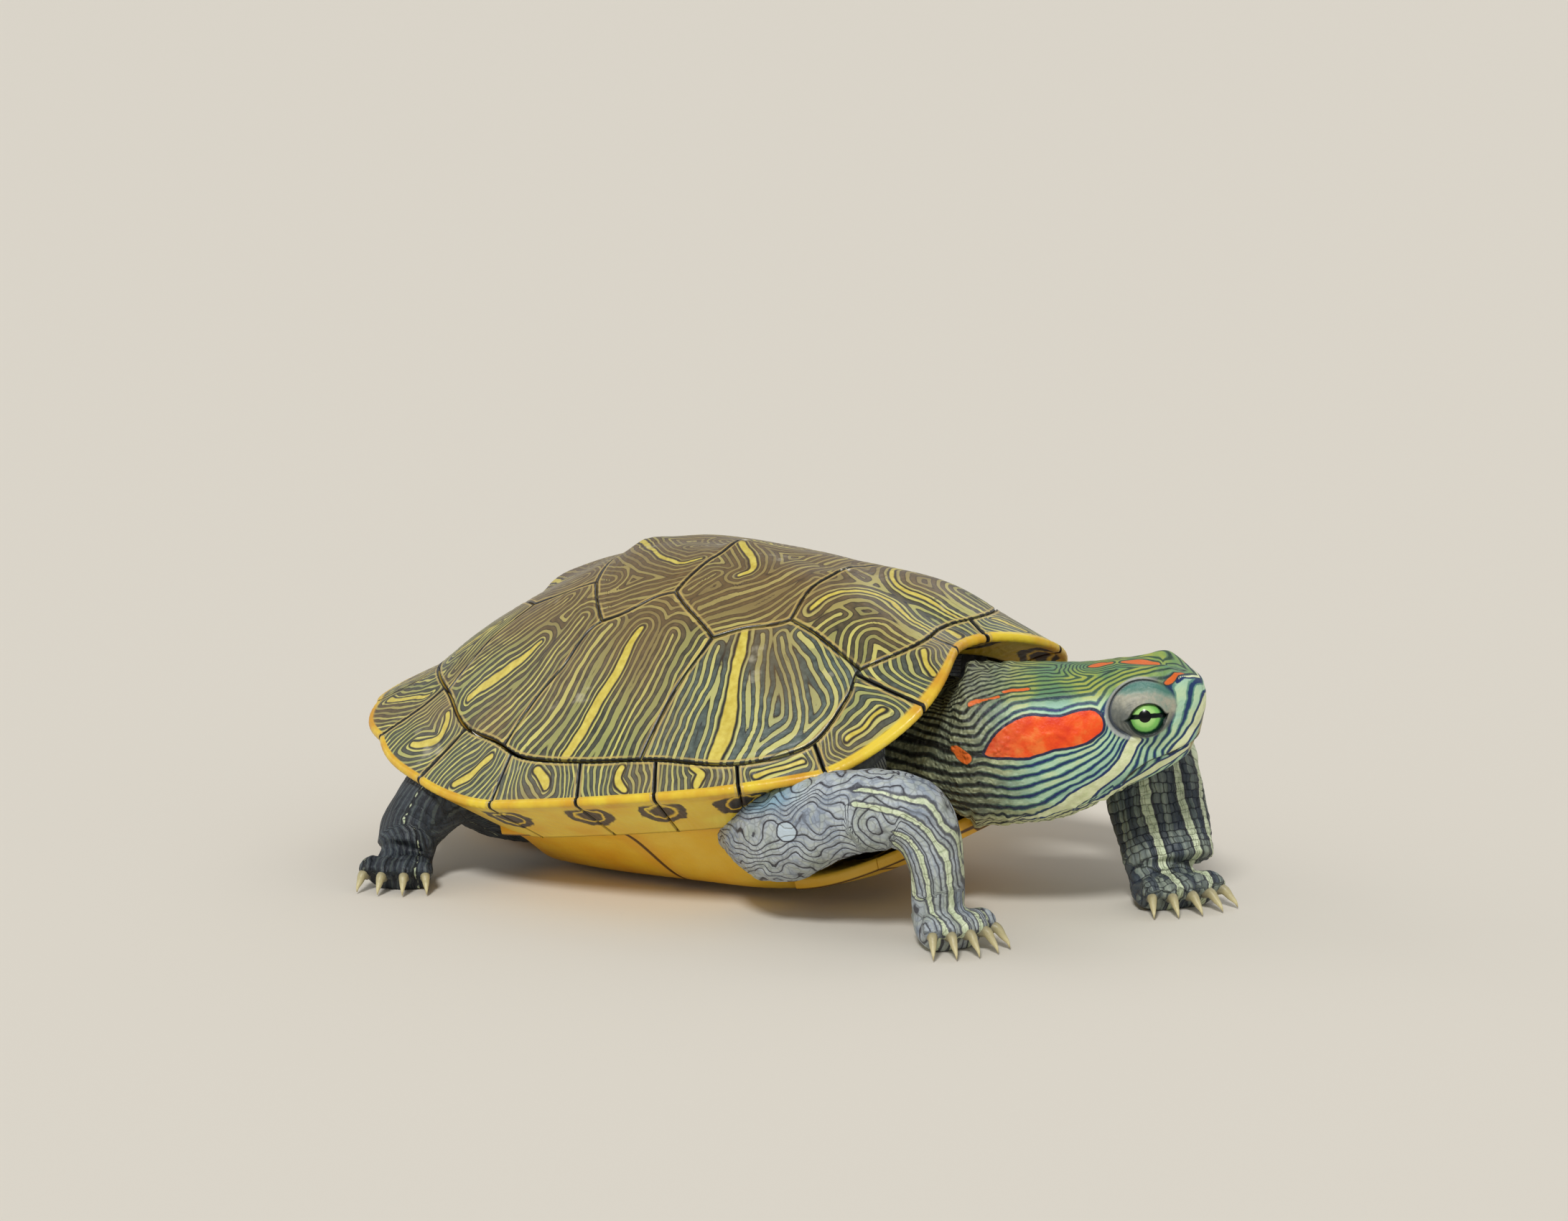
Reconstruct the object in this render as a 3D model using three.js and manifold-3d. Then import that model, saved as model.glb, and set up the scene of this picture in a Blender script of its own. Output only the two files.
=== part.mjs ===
// A young red-eared slider turtle, life size, walking with its head raised and turned to its left.
// Millimetres. +X is forward, +Y is the animal's left, +Z is up, and it stands on z = 0.
// The origin is the middle of its footprint, at the floor.

import * as THREE from 'three';
import { mergeVertices } from 'three/addons/utils/BufferGeometryUtils.js';
import Module from 'manifold-3d';

const wasm = await Module();
wasm.setup();

// ---------------------------------------------------------------- driving dimensions

const SHELL = {
  length: 115,          // straight carapace length, which everything else follows
  front: 0.498,         // half lengths and half width of the rim's outline, in shell lengths
  side: 0.419,
  squareness: 2.32,     // 2 would be an ellipse
  crown: 0.222,         // height of the crown above the rim's mean plane, in shell lengths
  plate: 2.2,           // thickness of a shell plate
  pitch: 7,             // degrees that the front is raised
  bank: 8,              // degrees that the left side is raised
  ride: 0.25,           // height of the rim's mean plane above the floor, in shell lengths
};
const L = SHELL.length;
const GAP = 0.35;       // clearance between neighbouring parts
const SEAM = 0.25;      // half the groove between two plates
const DEG = Math.PI / 180;

const HEAD = { at: [57, 0, 31.6], yaw: 32, pitch: 4, roll: 9, length: 32.5 };
const EYE = { x: 22.2, y: 5.2, z: 1.0, radius: 3.5 };

const COLOUR = {
  scute: 0x6b6a35, rim: 0x8a8438, plastron: 0xd9a83a, skin: 0x5b6650,
  leg: 0x6d7680, foot: 0x4c5348, eye: 0x7fc25a,
};

// ---------------------------------------------------------------- small maths

const clamp = (v, low, high) => Math.min(high, Math.max(low, v));
const mix = (a, b, t) => a + (b - a) * t;
const bell = (v, width) => Math.exp(-((v / width) ** 2));
const ease = (low, high, v) => {
  const t = clamp((v - low) / (high - low), 0, 1);
  return t * t * (3 - 2 * t);
};
const power = (v, exponent) => Math.sign(v) * Math.abs(v) ** exponent;
const steps = (count) => Array.from({ length: count + 1 }, (_, i) => i / count);

// A smooth curve through [station, value] pairs, with slopes taken across each station's neighbours.
function profile(pairs, at) {
  const last = pairs.length - 1;
  const i = clamp(pairs.findIndex(([x]) => x > at) - 1, 0, last - 1);
  const start = at >= pairs[last][0] ? last - 1 : i;
  const slope = (k) => {
    const [a, b] = [pairs[Math.max(k - 1, 0)], pairs[Math.min(k + 1, last)]];
    return (b[1] - a[1]) / (b[0] - a[0]);
  };
  const [x0, y0] = pairs[start];
  const [x1, y1] = pairs[start + 1];
  const t = clamp((at - x0) / (x1 - x0), 0, 1);
  const [m0, m1] = [slope(start) * (x1 - x0), slope(start + 1) * (x1 - x0)];
  return (2 * t ** 3 - 3 * t ** 2 + 1) * y0 + (t ** 3 - 2 * t ** 2 + t) * m0
    + (3 * t ** 2 - 2 * t ** 3) * y1 + (t ** 3 - t ** 2) * m1;
}

// ---------------------------------------------------------------- closed solids

// Vertices and faces as an indexed geometry, turned inside out if its volume came out negative.
function shape(points, faces) {
  let volume = 0;
  for (const [a, b, c] of faces) {
    const [p, q, r] = [points[a], points[b], points[c]];
    volume += p[0] * (q[1] * r[2] - q[2] * r[1]) + p[1] * (q[2] * r[0] - q[0] * r[2])
      + p[2] * (q[0] * r[1] - q[1] * r[0]);
  }
  const geometry = new THREE.BufferGeometry();
  geometry.setAttribute('position', new THREE.Float32BufferAttribute(points.flat(), 3));
  geometry.setIndex(faces.flatMap(([a, b, c]) => (volume > 0 ? [a, b, c] : [a, c, b])));
  return geometry;
}

// A solid skinned over rings with equal numbers of points, with a fan over each end.
function loft(rings) {
  const n = rings[0].length;
  const centre = (ring) => [0, 1, 2].map((k) => ring.reduce((sum, p) => sum + p[k], 0) / n);
  const points = [...rings.flat(), centre(rings[0]), centre(rings.at(-1))];
  const [first, last] = [points.length - 2, points.length - 1];
  const faces = [];
  for (let j = 0; j < n; j++) {
    const next = (j + 1) % n;
    for (let i = 0; i + 1 < rings.length; i++) {
      const [a, b, c, d] = [i * n + j, i * n + next, (i + 1) * n + next, (i + 1) * n + j];
      faces.push([a, b, c], [a, c, d]);
    }
    const end = (rings.length - 1) * n;
    faces.push([first, next, j], [last, end + j, end + next]);
  }
  return shape(points, faces);
}

// A solid between two surfaces over the same unit square, with four walls round its edge.
function slab(outer, inner, across, along) {
  const grid = (surface) => steps(along).flatMap((v) => steps(across).map((u) => surface(u, v)));
  const points = [...grid(outer), ...grid(inner)];
  const columns = across + 1;
  const under = columns * (along + 1);
  const faces = [];
  for (let i = 0; i < along; i++) {
    for (let j = 0; j < across; j++) {
      const [a, d] = [i * columns + j, (i + 1) * columns + j];
      const [b, c] = [a + 1, d + 1];
      faces.push([a, b, c], [a, c, d]);
      faces.push([a + under, c + under, b + under], [a + under, d + under, c + under]);
    }
  }
  const wall = (a, b) => faces.push([b, a, a + under], [b, a + under, b + under]);
  for (let j = 0; j < across; j++) {
    wall(j, j + 1);
    wall(along * columns + j + 1, along * columns + j);
  }
  for (let i = 0; i < along; i++) {
    wall((i + 1) * columns, i * columns);
    wall(i * columns + across, (i + 1) * columns + across);
  }
  return shape(points, faces);
}

function toManifold(geometry) {
  const bare = geometry.clone();
  bare.deleteAttribute('normal');
  bare.deleteAttribute('uv');
  const merged = mergeVertices(bare, 1e-4);
  return new wasm.Manifold(new wasm.Mesh({
    numProp: 3,
    vertProperties: new Float32Array(merged.attributes.position.array),
    triVerts: new Uint32Array(merged.index.array),
  }));
}

// The largest single body of a manifold, as a geometry.
function toGeometry(manifold) {
  const size = (body) => body.volume();
  const [largest] = manifold.decompose().sort((a, b) => size(b) - size(a));
  const { vertProperties, triVerts } = largest.getMesh();
  const geometry = new THREE.BufferGeometry();
  geometry.setAttribute('position', new THREE.BufferAttribute(new Float32Array(vertProperties), 3));
  geometry.setIndex(new THREE.BufferAttribute(new Uint32Array(triVerts), 1));
  return geometry;
}

const join = (...geometries) => geometries.map(toManifold).reduce((sum, part) => sum.add(part));
const cut = (geometry, ...tools) => toGeometry(
  tools.reduce((rest, tool) => rest.subtract(tool), toManifold(geometry)),
);

// ---------------------------------------------------------------- frames

// The shell's own frame stands on the rim's mean plane, raised at the front and on the left.
const up = new THREE.Vector3(Math.sin(SHELL.pitch * DEG), Math.sin(SHELL.bank * DEG), 0);
up.z = Math.sqrt(1 - up.lengthSq());
const ahead = new THREE.Vector3(1, 0, 0).addScaledVector(up, -up.x).normalize();
const leftward = new THREE.Vector3().crossVectors(up, ahead);
const shellFrame = new THREE.Matrix4().makeBasis(ahead, leftward, up).transpose()
  .premultiply(new THREE.Matrix4().makeTranslation(0, 0, SHELL.ride * L));

// The head's frame starts at the back of the skull, with x towards the snout.
const headFrame = new THREE.Matrix4().makeRotationFromEuler(
  new THREE.Euler(HEAD.roll * DEG, -HEAD.pitch * DEG, HEAD.yaw * DEG, 'ZYX'),
).setPosition(...HEAD.at);

const carry = (frame) => (p) => new THREE.Vector3(...p).applyMatrix4(frame).toArray();
const shellToWorld = carry(shellFrame);
const headToWorld = carry(headFrame);

// ---------------------------------------------------------------- carapace surface

// Distance from the shell's centre out to the rim, at a bearing measured from straight ahead: an oval,
// broader behind, whose first marginals stand forward of the notched nuchal plate.
function rimRadius(bearing) {
  const { front, side, squareness: k } = SHELL;
  const sum = Math.abs(Math.cos(bearing) / front) ** k + Math.abs(Math.sin(bearing) / side) ** k;
  const oval = sum ** (-1 / k);
  const off = Math.abs(bearing);
  const forward = 0.028 * bell(off - 17 * DEG, 9 * DEG) - 0.032 * bell(off, 8 * DEG);
  return L * (oval * (1 - 0.044 * Math.cos(bearing) + 0.039 * Math.cos(3 * bearing)) + forward);
}

// The rim is level along the flanks and flares up over the neck and the tail.
const rimHeight = (bearing) => L * (-0.051 + 0.112 * (1 - ease(2 * DEG, 34 * DEG, Math.abs(bearing)))
  + 0.109 * ease(98 * DEG, 150 * DEG, Math.abs(bearing)));

// Where costals and vertebrals meet the marginals, as a share of the rim's radius at each bearing.
const MARGIN = [[0, 0.92], [6, 0.91], [20, 0.82], [24, 0.86], [33, 0.925], [46, 0.94], [62, 0.912],
  [80, 0.905], [95, 0.89], [105, 0.852], [115, 0.84], [128, 0.793], [150, 0.8], [180, 0.83]];
const marginShare = (bearing) => profile(MARGIN, Math.abs(bearing) / DEG);

// The low keel rises to a blunt knob at the back of each vertebral plate.
const KNOBS = [0.275, 0.09, -0.105, -0.3];
function keel(x, y) {
  const knobs = KNOBS.reduce((sum, knob) => sum + bell(x - knob * L, 0.03 * L), 0);
  return bell(y, 0.035 * L) * (0.1 + 1.2 * ease(0.1, 0.25, -x / L) + 1.1 * knobs);
}

// A dome over the rim, drawn in behind to a slight hollow above the flared rear marginals.
function domeHeight(x, y) {
  const bearing = Math.atan2(y, x);
  const share = Math.hypot(x, y) / rimRadius(bearing);
  const behind = ease(90 * DEG, 150 * DEG, Math.abs(bearing));
  const fullness = 1.87 + 0.2 * Math.sin(bearing) ** 2 - 0.27 * behind;
  const skirtDip = 0.012 * L * bell(share - 0.84, 0.13) * behind;
  return SHELL.crown * L * (1 - share ** fullness) + rimHeight(bearing) * share ** 2 - skirtDip
    + keel(x, y) * clamp(1 - share, 0, 1) ** 0.3;
}

// A point of the carapace over plan point (x, y), sunk below its surface by a depth.
function onDome(x, y, depth = 0) {
  const step = 0.05;
  const slopeX = (domeHeight(x + step, y) - domeHeight(x - step, y)) / (2 * step);
  const slopeY = (domeHeight(x, y + step) - domeHeight(x, y - step)) / (2 * step);
  const normal = new THREE.Vector3(-slopeX, -slopeY, 1).normalize();
  return [x - depth * normal.x, y - depth * normal.y, domeHeight(x, y) - depth * normal.z];
}

const alongMargin = (from, to) => (t) => {
  const turned = mix(from, to, t);
  const bearing = turned < -Math.PI ? turned + 2 * Math.PI : turned;
  const reach = marginShare(bearing) * rimRadius(bearing);
  return [reach * Math.cos(bearing), reach * Math.sin(bearing)];
};

// A straight run of seams through plan points given in shell lengths, each run taking an equal share.
const through = (...corners) => (t) => {
  const runs = corners.length - 1;
  const run = Math.min(Math.floor(t * runs), runs - 1);
  const within = t * runs - run;
  return [0, 1].map((k) => L * mix(corners[run][k], corners[run + 1][k], within));
};

// A plate over the patch between four seams, blended from its edges, with the groove taken off.
function scute(rear, front, right, left, across, along) {
  const corner = { a: rear(0), b: rear(1), c: front(0), d: front(1) };
  const width = Math.hypot(corner.a[0] - corner.b[0], corner.a[1] - corner.b[1], SEAM);
  const depth = Math.hypot(...[0, 1].map((k) => (front(0.5)[k] - rear(0.5)[k])));
  const plan = (u0, v0) => {
    const u = mix(SEAM / width, 1 - SEAM / width, u0);
    const v = mix(SEAM / depth, 1 - SEAM / depth, v0);
    return [0, 1].map((k) => mix(rear(u)[k], front(u)[k], v) + mix(right(v)[k], left(v)[k], u)
      - mix(mix(corner.a[k], corner.b[k], u), mix(corner.c[k], corner.d[k], u), v));
  };
  const surface = (depthBelow) => (u, v) => shellToWorld(onDome(...plan(u, v), depthBelow));
  return slab(surface(0), surface(SHELL.plate), across, along);
}

// Seams across the back: place on the keel, and place and half width where they meet the costals.
const CROSS_SEAMS = [
  { keel: 0.268, end: 0.262, half: 0.12 },
  { keel: 0.083, end: 0.09, half: 0.143 },
  { keel: -0.115, end: -0.072, half: 0.143 },
  { keel: -0.315, end: -0.295, half: 0.095 },
];
const SIDE_CORNERS = [[0.18, 0.193], [0, 0.213], [-0.185, 0.165]];   // vertebrals 2 to 4, at their widest
const COSTAL_BEARINGS = [20.1, 65.5, 102, 128.5, 157].map((angle) => angle * DEG);

const crossSeam = ({ keel: middle, end, half }) => (t) => {
  const y = mix(-half, half, t);
  return [L * mix(middle, end, (y / half) ** 2), L * y];
};
const seamEnd = (seam, side) => [seam.end, side * seam.half];
const sideCorner = (index, side) => [SIDE_CORNERS[index][0], side * SIDE_CORNERS[index][1]];
const marginPoint = (bearing, side) => alongMargin(side * bearing, side * bearing)(0).map((v) => v / L);

function vertebral(index) {
  const [before, after] = [CROSS_SEAMS[index - 1], CROSS_SEAMS[index]];
  const last = COSTAL_BEARINGS[4];
  const front = before ? crossSeam(before) : alongMargin(-COSTAL_BEARINGS[0], COSTAL_BEARINGS[0]);
  const rear = after ? crossSeam(after) : alongMargin(-last, last - 2 * Math.PI);
  const edge = (side) => {
    const from = after ? seamEnd(after, side) : marginPoint(last, side);
    const to = before ? seamEnd(before, side) : marginPoint(COSTAL_BEARINGS[0], side);
    const widest = before && after ? [sideCorner(index - 1, side)] : [];
    return through(from, ...widest, to);
  };
  return scute(rear, front, edge(-1), edge(1), 6, 4);
}

function costal(index, side) {
  const frontTop = index === 0 ? seamEnd(CROSS_SEAMS[0], side) : sideCorner(index - 1, side);
  const rearTop = index === 3 ? seamEnd(CROSS_SEAMS[3], side) : sideCorner(index, side);
  const between = index === 1 || index === 2 ? [seamEnd(CROSS_SEAMS[index], side)] : [];
  const [frontBearing, rearBearing] = [COSTAL_BEARINGS[index], COSTAL_BEARINGS[index + 1]];
  const rear = through(rearTop, marginPoint(rearBearing, side));
  const front = through(frontTop, marginPoint(frontBearing, side));
  const foot = alongMargin(side * rearBearing, side * frontBearing);
  return scute(rear, front, through(rearTop, ...between, frontTop), foot, 5, 4);
}

// ---------------------------------------------------------------- marginals

// Bearings of the seams between marginals, out on the rim and in where they meet the costals.
const inRadians = (angles) => angles.map((angle) => angle * DEG);
const RIM_SEAMS = inRadians([3.9, 16.5, 32.2, 46.4, 62.2, 79, 99, 116.9, 132.4, 146.3, 158.3, 169.7, 180]);
const INNER_SEAMS = inRadians([5.5, 21, 32, 46, 62, 80, 99, 114.5, 130.5, 145.5, 158.5, 170, 180]);

// Over the bridge the marginals wrap far down, and elsewhere they have a shallow lip.
const bridge = (bearing) => ease(0.72, 0.95, bearing) * (1 - ease(1.95, 2.2, bearing));
const lip = (bearing) => ({
  inward: L * mix(0.07, 0.075, bridge(bearing)),
  down: L * mix(0.012, 0.055, bridge(bearing)),
});

// The rear rim is faintly notched at each seam, so each marginal's edge swells a little between them.
const swell = (bearing, share) => ease(1.9, 2.5, bearing) * Math.sin(Math.PI * share);

// One cross section of the rim, as a closed loop from the costals' edge out, round and back under.
function rimSection(inner, outer, side, share, grow = 0) {
  const out = rimRadius(outer) + swell(outer, share) + grow;
  const reach = marginShare(inner) * rimRadius(inner) + SEAM - grow;
  const at = (bearing, radius) => [radius * Math.cos(bearing), side * radius * Math.sin(bearing)];
  const { inward, down } = lip(outer);
  const edge = rimHeight(outer);
  const top = onDome(...at(inner, reach));
  const middle = onDome(...at((inner + outer) / 2, (reach + out) / 2));
  const back = onDome(...at(inner, reach), SHELL.plate);
  return [
    [top[0], top[1], top[2] + grow],
    [middle[0], middle[1], middle[2] + grow],
    [...at(outer, out), edge + 0.2 + grow],
    [...at(outer, out - 0.5), edge - 1.5 - grow],
    [...at(outer, rimRadius(outer) - inward - grow), edge - down - 1.2 - grow],
    [back[0], back[1], back[2] - grow],
  ];
}

function marginal(index, side) {
  const trim = SEAM / (0.42 * L);
  const ring = (t) => {
    const inner = mix(INNER_SEAMS[index - 1] + trim, INNER_SEAMS[index] - trim, t);
    const outer = mix(RIM_SEAMS[index - 1] + trim, RIM_SEAMS[index] - trim, t);
    return rimSection(inner, outer, side, t).map(shellToWorld);
  };
  return loft(steps(3).map(ring));
}

function nuchal() {
  const trim = SEAM / (0.42 * L);
  const ring = (t) => {
    const inner = mix(-1, 1, t) * (INNER_SEAMS[0] - trim);
    const outer = mix(-1, 1, t) * (RIM_SEAMS[0] - trim);
    return rimSection(Math.abs(inner), Math.abs(outer), Math.sign(inner) || 1, 0).map(shellToWorld);
  };
  return loft(steps(2).map(ring));
}

// The whole rim of one side as a cutter, grown by the gap, so that flesh keeps clear of it.
function rimCutter(side) {
  const ring = (t) => {
    const bearing = mix(-0.02, Math.PI + 0.02, t);
    return rimSection(bearing, bearing, side, 0.5, 2 * GAP).map(shellToWorld);
  };
  return loft(steps(40).map(ring));
}

// ---------------------------------------------------------------- plastron

// The belly is lowest under the shoulders and rises a little to both ends.
const BELLY = [[-0.46, -0.165], [-0.3, -0.182], [-0.1, -0.205], [0.08, -0.225], [0.2, -0.238], [0.3, -0.235],
  [0.38, -0.218], [0.452, -0.192]];
const bellyHeight = (x) => L * profile(BELLY, x / L);
const LOBES = [[-0.46, 0.06], [-0.44, 0.115], [-0.38, 0.165], [-0.29, 0.195], [-0.175, 0.185],
  [0.255, 0.2], [0.33, 0.18], [0.4, 0.13], [0.435, 0.085], [0.452, 0.04]];
const lobeHalf = (x) => L * profile(LOBES, x / L);

// Half width of the belly between the legs, where it climbs to the lower edge of the marginals.
function bridgeHalf(x) {
  let [low, high] = [0.2, 2.9];
  for (let i = 0; i < 24; i++) {
    const middle = (low + high) / 2;
    const reach = (rimRadius(middle) - lip(middle).inward - GAP) * Math.cos(middle);
    [low, high] = reach > x ? [middle, high] : [low, middle];
  }
  return (rimRadius(low) - lip(low).inward - 2 * GAP) * Math.sin(low);
}

// The belly's skin side at a place: it turns up at the edge of a lobe, and more over the bridge.
function bellySurface(x, y, thickness, bridged) {
  const upturn = bridged ? 0.09 * L * ease(0.6, 1.02, Math.abs(y) / bridgeHalf(x))
    : 0.9 * ease(0.7, 1, Math.abs(y) / lobeHalf(x));
  return [x, y, bellyHeight(x) + upturn + thickness];
}

const BELLY_SEAMS = [-0.46, -0.33, -0.175, 0.06, 0.255, 0.37, 0.452];
const BELLY_PLATES = ['anal', 'femoral', 'abdominal', 'pectoral', 'humeral', 'gular'];

const isBridged = (x) => x > BELLY_SEAMS[2] * L && x < BELLY_SEAMS[4] * L;

function bellyPlate(index) {
  const [rear, front] = [BELLY_SEAMS[index] * L + SEAM, BELLY_SEAMS[index + 1] * L - SEAM];
  const bridged = isBridged((rear + front) / 2);
  const half = bridged ? bridgeHalf : lobeHalf;
  const hollow = (share) => (bridged ? 0.045 * L * ease(0.6, 1, Math.abs(share)) : 0);
  const surface = (thickness) => (u, v) => {
    const share = mix(-1, 1, u);
    const start = rear + (index === 2 ? hollow(share) : 0);
    const end = front - (index === 3 ? hollow(share) : 0);
    const x = mix(start, end, v);
    return shellToWorld(bellySurface(x, share * half(x), thickness, bridged));
  };
  return slab(surface(0), surface(SHELL.plate), 10, 2);
}

// The whole belly as a cutter, grown by the gap.
function bellyCutter() {
  const surface = (thickness) => (u, v) => {
    const x = mix(-0.47, 0.466, v) * L;
    const half = isBridged(x) ? bridgeHalf(x) : lobeHalf(x) + 4 * GAP;
    return shellToWorld(bellySurface(x, mix(-1, 1, u) * half, thickness, isBridged(x)));
  };
  return slab(surface(-2 * GAP), surface(SHELL.plate + 4 * GAP), 12, 30);
}

// ---------------------------------------------------------------- trunk

// The body inside the shell: it follows the carapace above and the belly below, well clear of both.
function trunk(grow = 0) {
  const depth = SHELL.plate + 4 * GAP - grow;
  const ring = (x) => {
    const bridged = isBridged(x);
    const half = (bridged ? bridgeHalf(x) - 1 : 0.8 * bridgeHalf(x)) + grow;
    const above = steps(6).map((t) => onDome(x, mix(-half, half, t), depth));
    const below = steps(6).slice(1, -1).map((t) => {
      const y = mix(half, -half, t);
      const beyond = bridged ? 0 : ease(lobeHalf(x) * 0.8, half, Math.abs(y));
      return [x, y, mix(bellySurface(x, y, depth, bridged)[2], domeHeight(x, y) - 9, beyond)];
    });
    const edge = (y) => {
      const rim = above[0][2];
      const floor = bridged ? bellySurface(x, y, depth, true)[2] : rim - 6;
      return [x, y, Math.min(floor, rim - 1)];
    };
    return [...above, edge(half), ...below, edge(-half)].map(shellToWorld);
  };
  const [back, front] = [-0.41 * L - grow, 0.37 * L + grow];
  return loft(steps(12).map((t) => ring(mix(back, front, t))));
}

// ---------------------------------------------------------------- head, jaw, eyes, neck

// Outlines of the head along its own length: half width, crown, throat, and height of its widest line.
const HEAD_WIDTH = [[-3, 11.2], [4, 10.8], [12, 9.9], [18, 8.6], [23, 7.3], [27.5, 5.5], [31, 3.7], [33, 2.2]];
const HEAD_TOP = [[-3, 7.5], [6, 7.3], [14, 7.1], [20, 7.65], [24, 7.3], [28, 6.5], [31, 5.3], [33, 4.2]];
const BROW = { x: 26.9, y: 3.9, height: 2.1, before: 3, behind: 3.6, half: 2 };
const HEAD_BASE = [[-3, -17], [6, -17], [12, -15.6], [18, -12.7], [24, -10.2], [29, -8.4], [31.5, -7.2],
  [33, -5.4]];
const HEAD_MIDDLE = [[-3, -3], [10, -2.6], [20, -1], [27, 0.4], [33, 0.8]];

function headRing(x, points) {
  const outlines = [HEAD_WIDTH, HEAD_TOP, HEAD_BASE, HEAD_MIDDLE];
  const [half, top, base, middle] = outlines.map((table) => profile(table, x));
  return steps(points).slice(0, -1).map((t) => {
    const angle = t * 2 * Math.PI;
    const [c, s] = [power(Math.cos(angle), 0.86), power(Math.sin(angle), 0.82)];
    const z = middle + s * (s > 0 ? top - middle : middle - base);
    const lid = 1.1 * bell(x - EYE.x, 4.2) * bell(z - EYE.z - 0.8, 4);
    const length = x > BROW.x ? BROW.before : BROW.behind;
    const brow = s > 0 ? BROW.height * bell(x - BROW.x, length) * bell(Math.abs(c * half) - BROW.y, BROW.half) : 0;
    const recede = 0.24 * Math.max(0, 2 - z) * ease(24, 33, x);
    return headToWorld([x - recede, c * half + Math.sign(c) * lid * Math.abs(c) ** 0.5, z + brow]);
  });
}

const eyeBall = (side, grow = 0) => new THREE.SphereGeometry(EYE.radius + grow, 12, 8)
  .rotateX(Math.PI / 2).translate(EYE.x, side * EYE.y, EYE.z).applyMatrix4(headFrame);

// The space of the lower jaw: below the mouth line, from its corner forward.
function jawSpace(grow) {
  const [corner, tip] = [17, HEAD.length + 6];
  const outline = new THREE.Shape([
    new THREE.Vector2(corner - grow, -7 + grow), new THREE.Vector2(25, -6.3 + grow),
    new THREE.Vector2(29.5, -4.7 + grow), new THREE.Vector2(tip, -4.2 + grow),
    new THREE.Vector2(tip, -20), new THREE.Vector2(corner - grow, -20),
  ]);
  return toManifold(new THREE.ExtrudeGeometry(outline, { depth: 40, bevelEnabled: false })
    .translate(0, 0, -20).rotateX(Math.PI / 2).applyMatrix4(headFrame));
}

function headAndJaw() {
  const stations = [0, 5, 10, 15, 18.5, 21.5, 24, 26.5, 29, 31, HEAD.length];
  const whole = loft(stations.map((x) => headRing(x, 18)));
  const head = cut(whole, jawSpace(GAP), toManifold(eyeBall(1, GAP)), toManifold(eyeBall(-1, GAP)));
  const jaw = toGeometry(toManifold(whole).intersect(jawSpace(0)));
  return { head, jaw };
}

// The neck swells out of the shell's front opening and narrows into the head.
function neck() {
  const sections = [{ x: 0.33, half: 11, tall: 10.5, turn: 0 }, { x: 0.43, half: 12, tall: 10.2, turn: 14 }];
  const rings = sections.map(({ x, half, tall, turn }) => {
    const at = shellToWorld([x * L, 0, -0.078 * L]);
    return steps(18).slice(0, -1).map((t) => {
      const across = half * power(Math.cos(2 * Math.PI * t), 0.9);
      const rise = tall * power(Math.sin(2 * Math.PI * t), 0.9);
      return [at[0] - across * Math.sin(turn * DEG), at[1] + across * Math.cos(turn * DEG), at[2] + rise];
    });
  });
  return loft([...rings, headRing(-4, 18), headRing(-GAP, 18)]);
}

// ---------------------------------------------------------------- limbs and tail

// A limb skinned over stations: each has a place, a half breadth, a half thickness and its broad direction.
function limb(stations, sides = 10, lengthwise = 9) {
  const path = new THREE.CatmullRomCurve3(stations.map(({ at }) => new THREE.Vector3(...at)), false, 'centripetal');
  const last = stations.length - 1;
  const between = (key, t) => {
    const k = Math.min(Math.floor(t * last), last - 1);
    return mix(stations[k][key], stations[k + 1][key], t * last - k);
  };
  const rings = steps(lengthwise).map((t) => {
    const k = Math.min(Math.floor(t * last), last - 1);
    const centre = path.getPoint(t);
    const tangent = path.getTangent(t);
    const broad = new THREE.Vector3(...stations[k].broad);
    broad.lerp(new THREE.Vector3(...stations[k + 1].broad), t * last - k);
    broad.addScaledVector(tangent, -broad.dot(tangent)).normalize();
    const thin = new THREE.Vector3().crossVectors(tangent, broad);
    return steps(sides).slice(0, -1).map((s) => centre.clone()
      .addScaledVector(broad, between('half', t) * power(Math.cos(2 * Math.PI * s), 0.9))
      .addScaledVector(thin, between('thick', t) * power(Math.sin(2 * Math.PI * s), 0.9)).toArray());
  });
  return loft(rings);
}

const station = (at, half, thick, broad) => ({ at, half, thick, broad });
const inShell = (x, y, z) => shellToWorld([x * L, y * L, z * L]);
const inWorld = (x, y, z) => [x * L, y * L, z * L];

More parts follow.
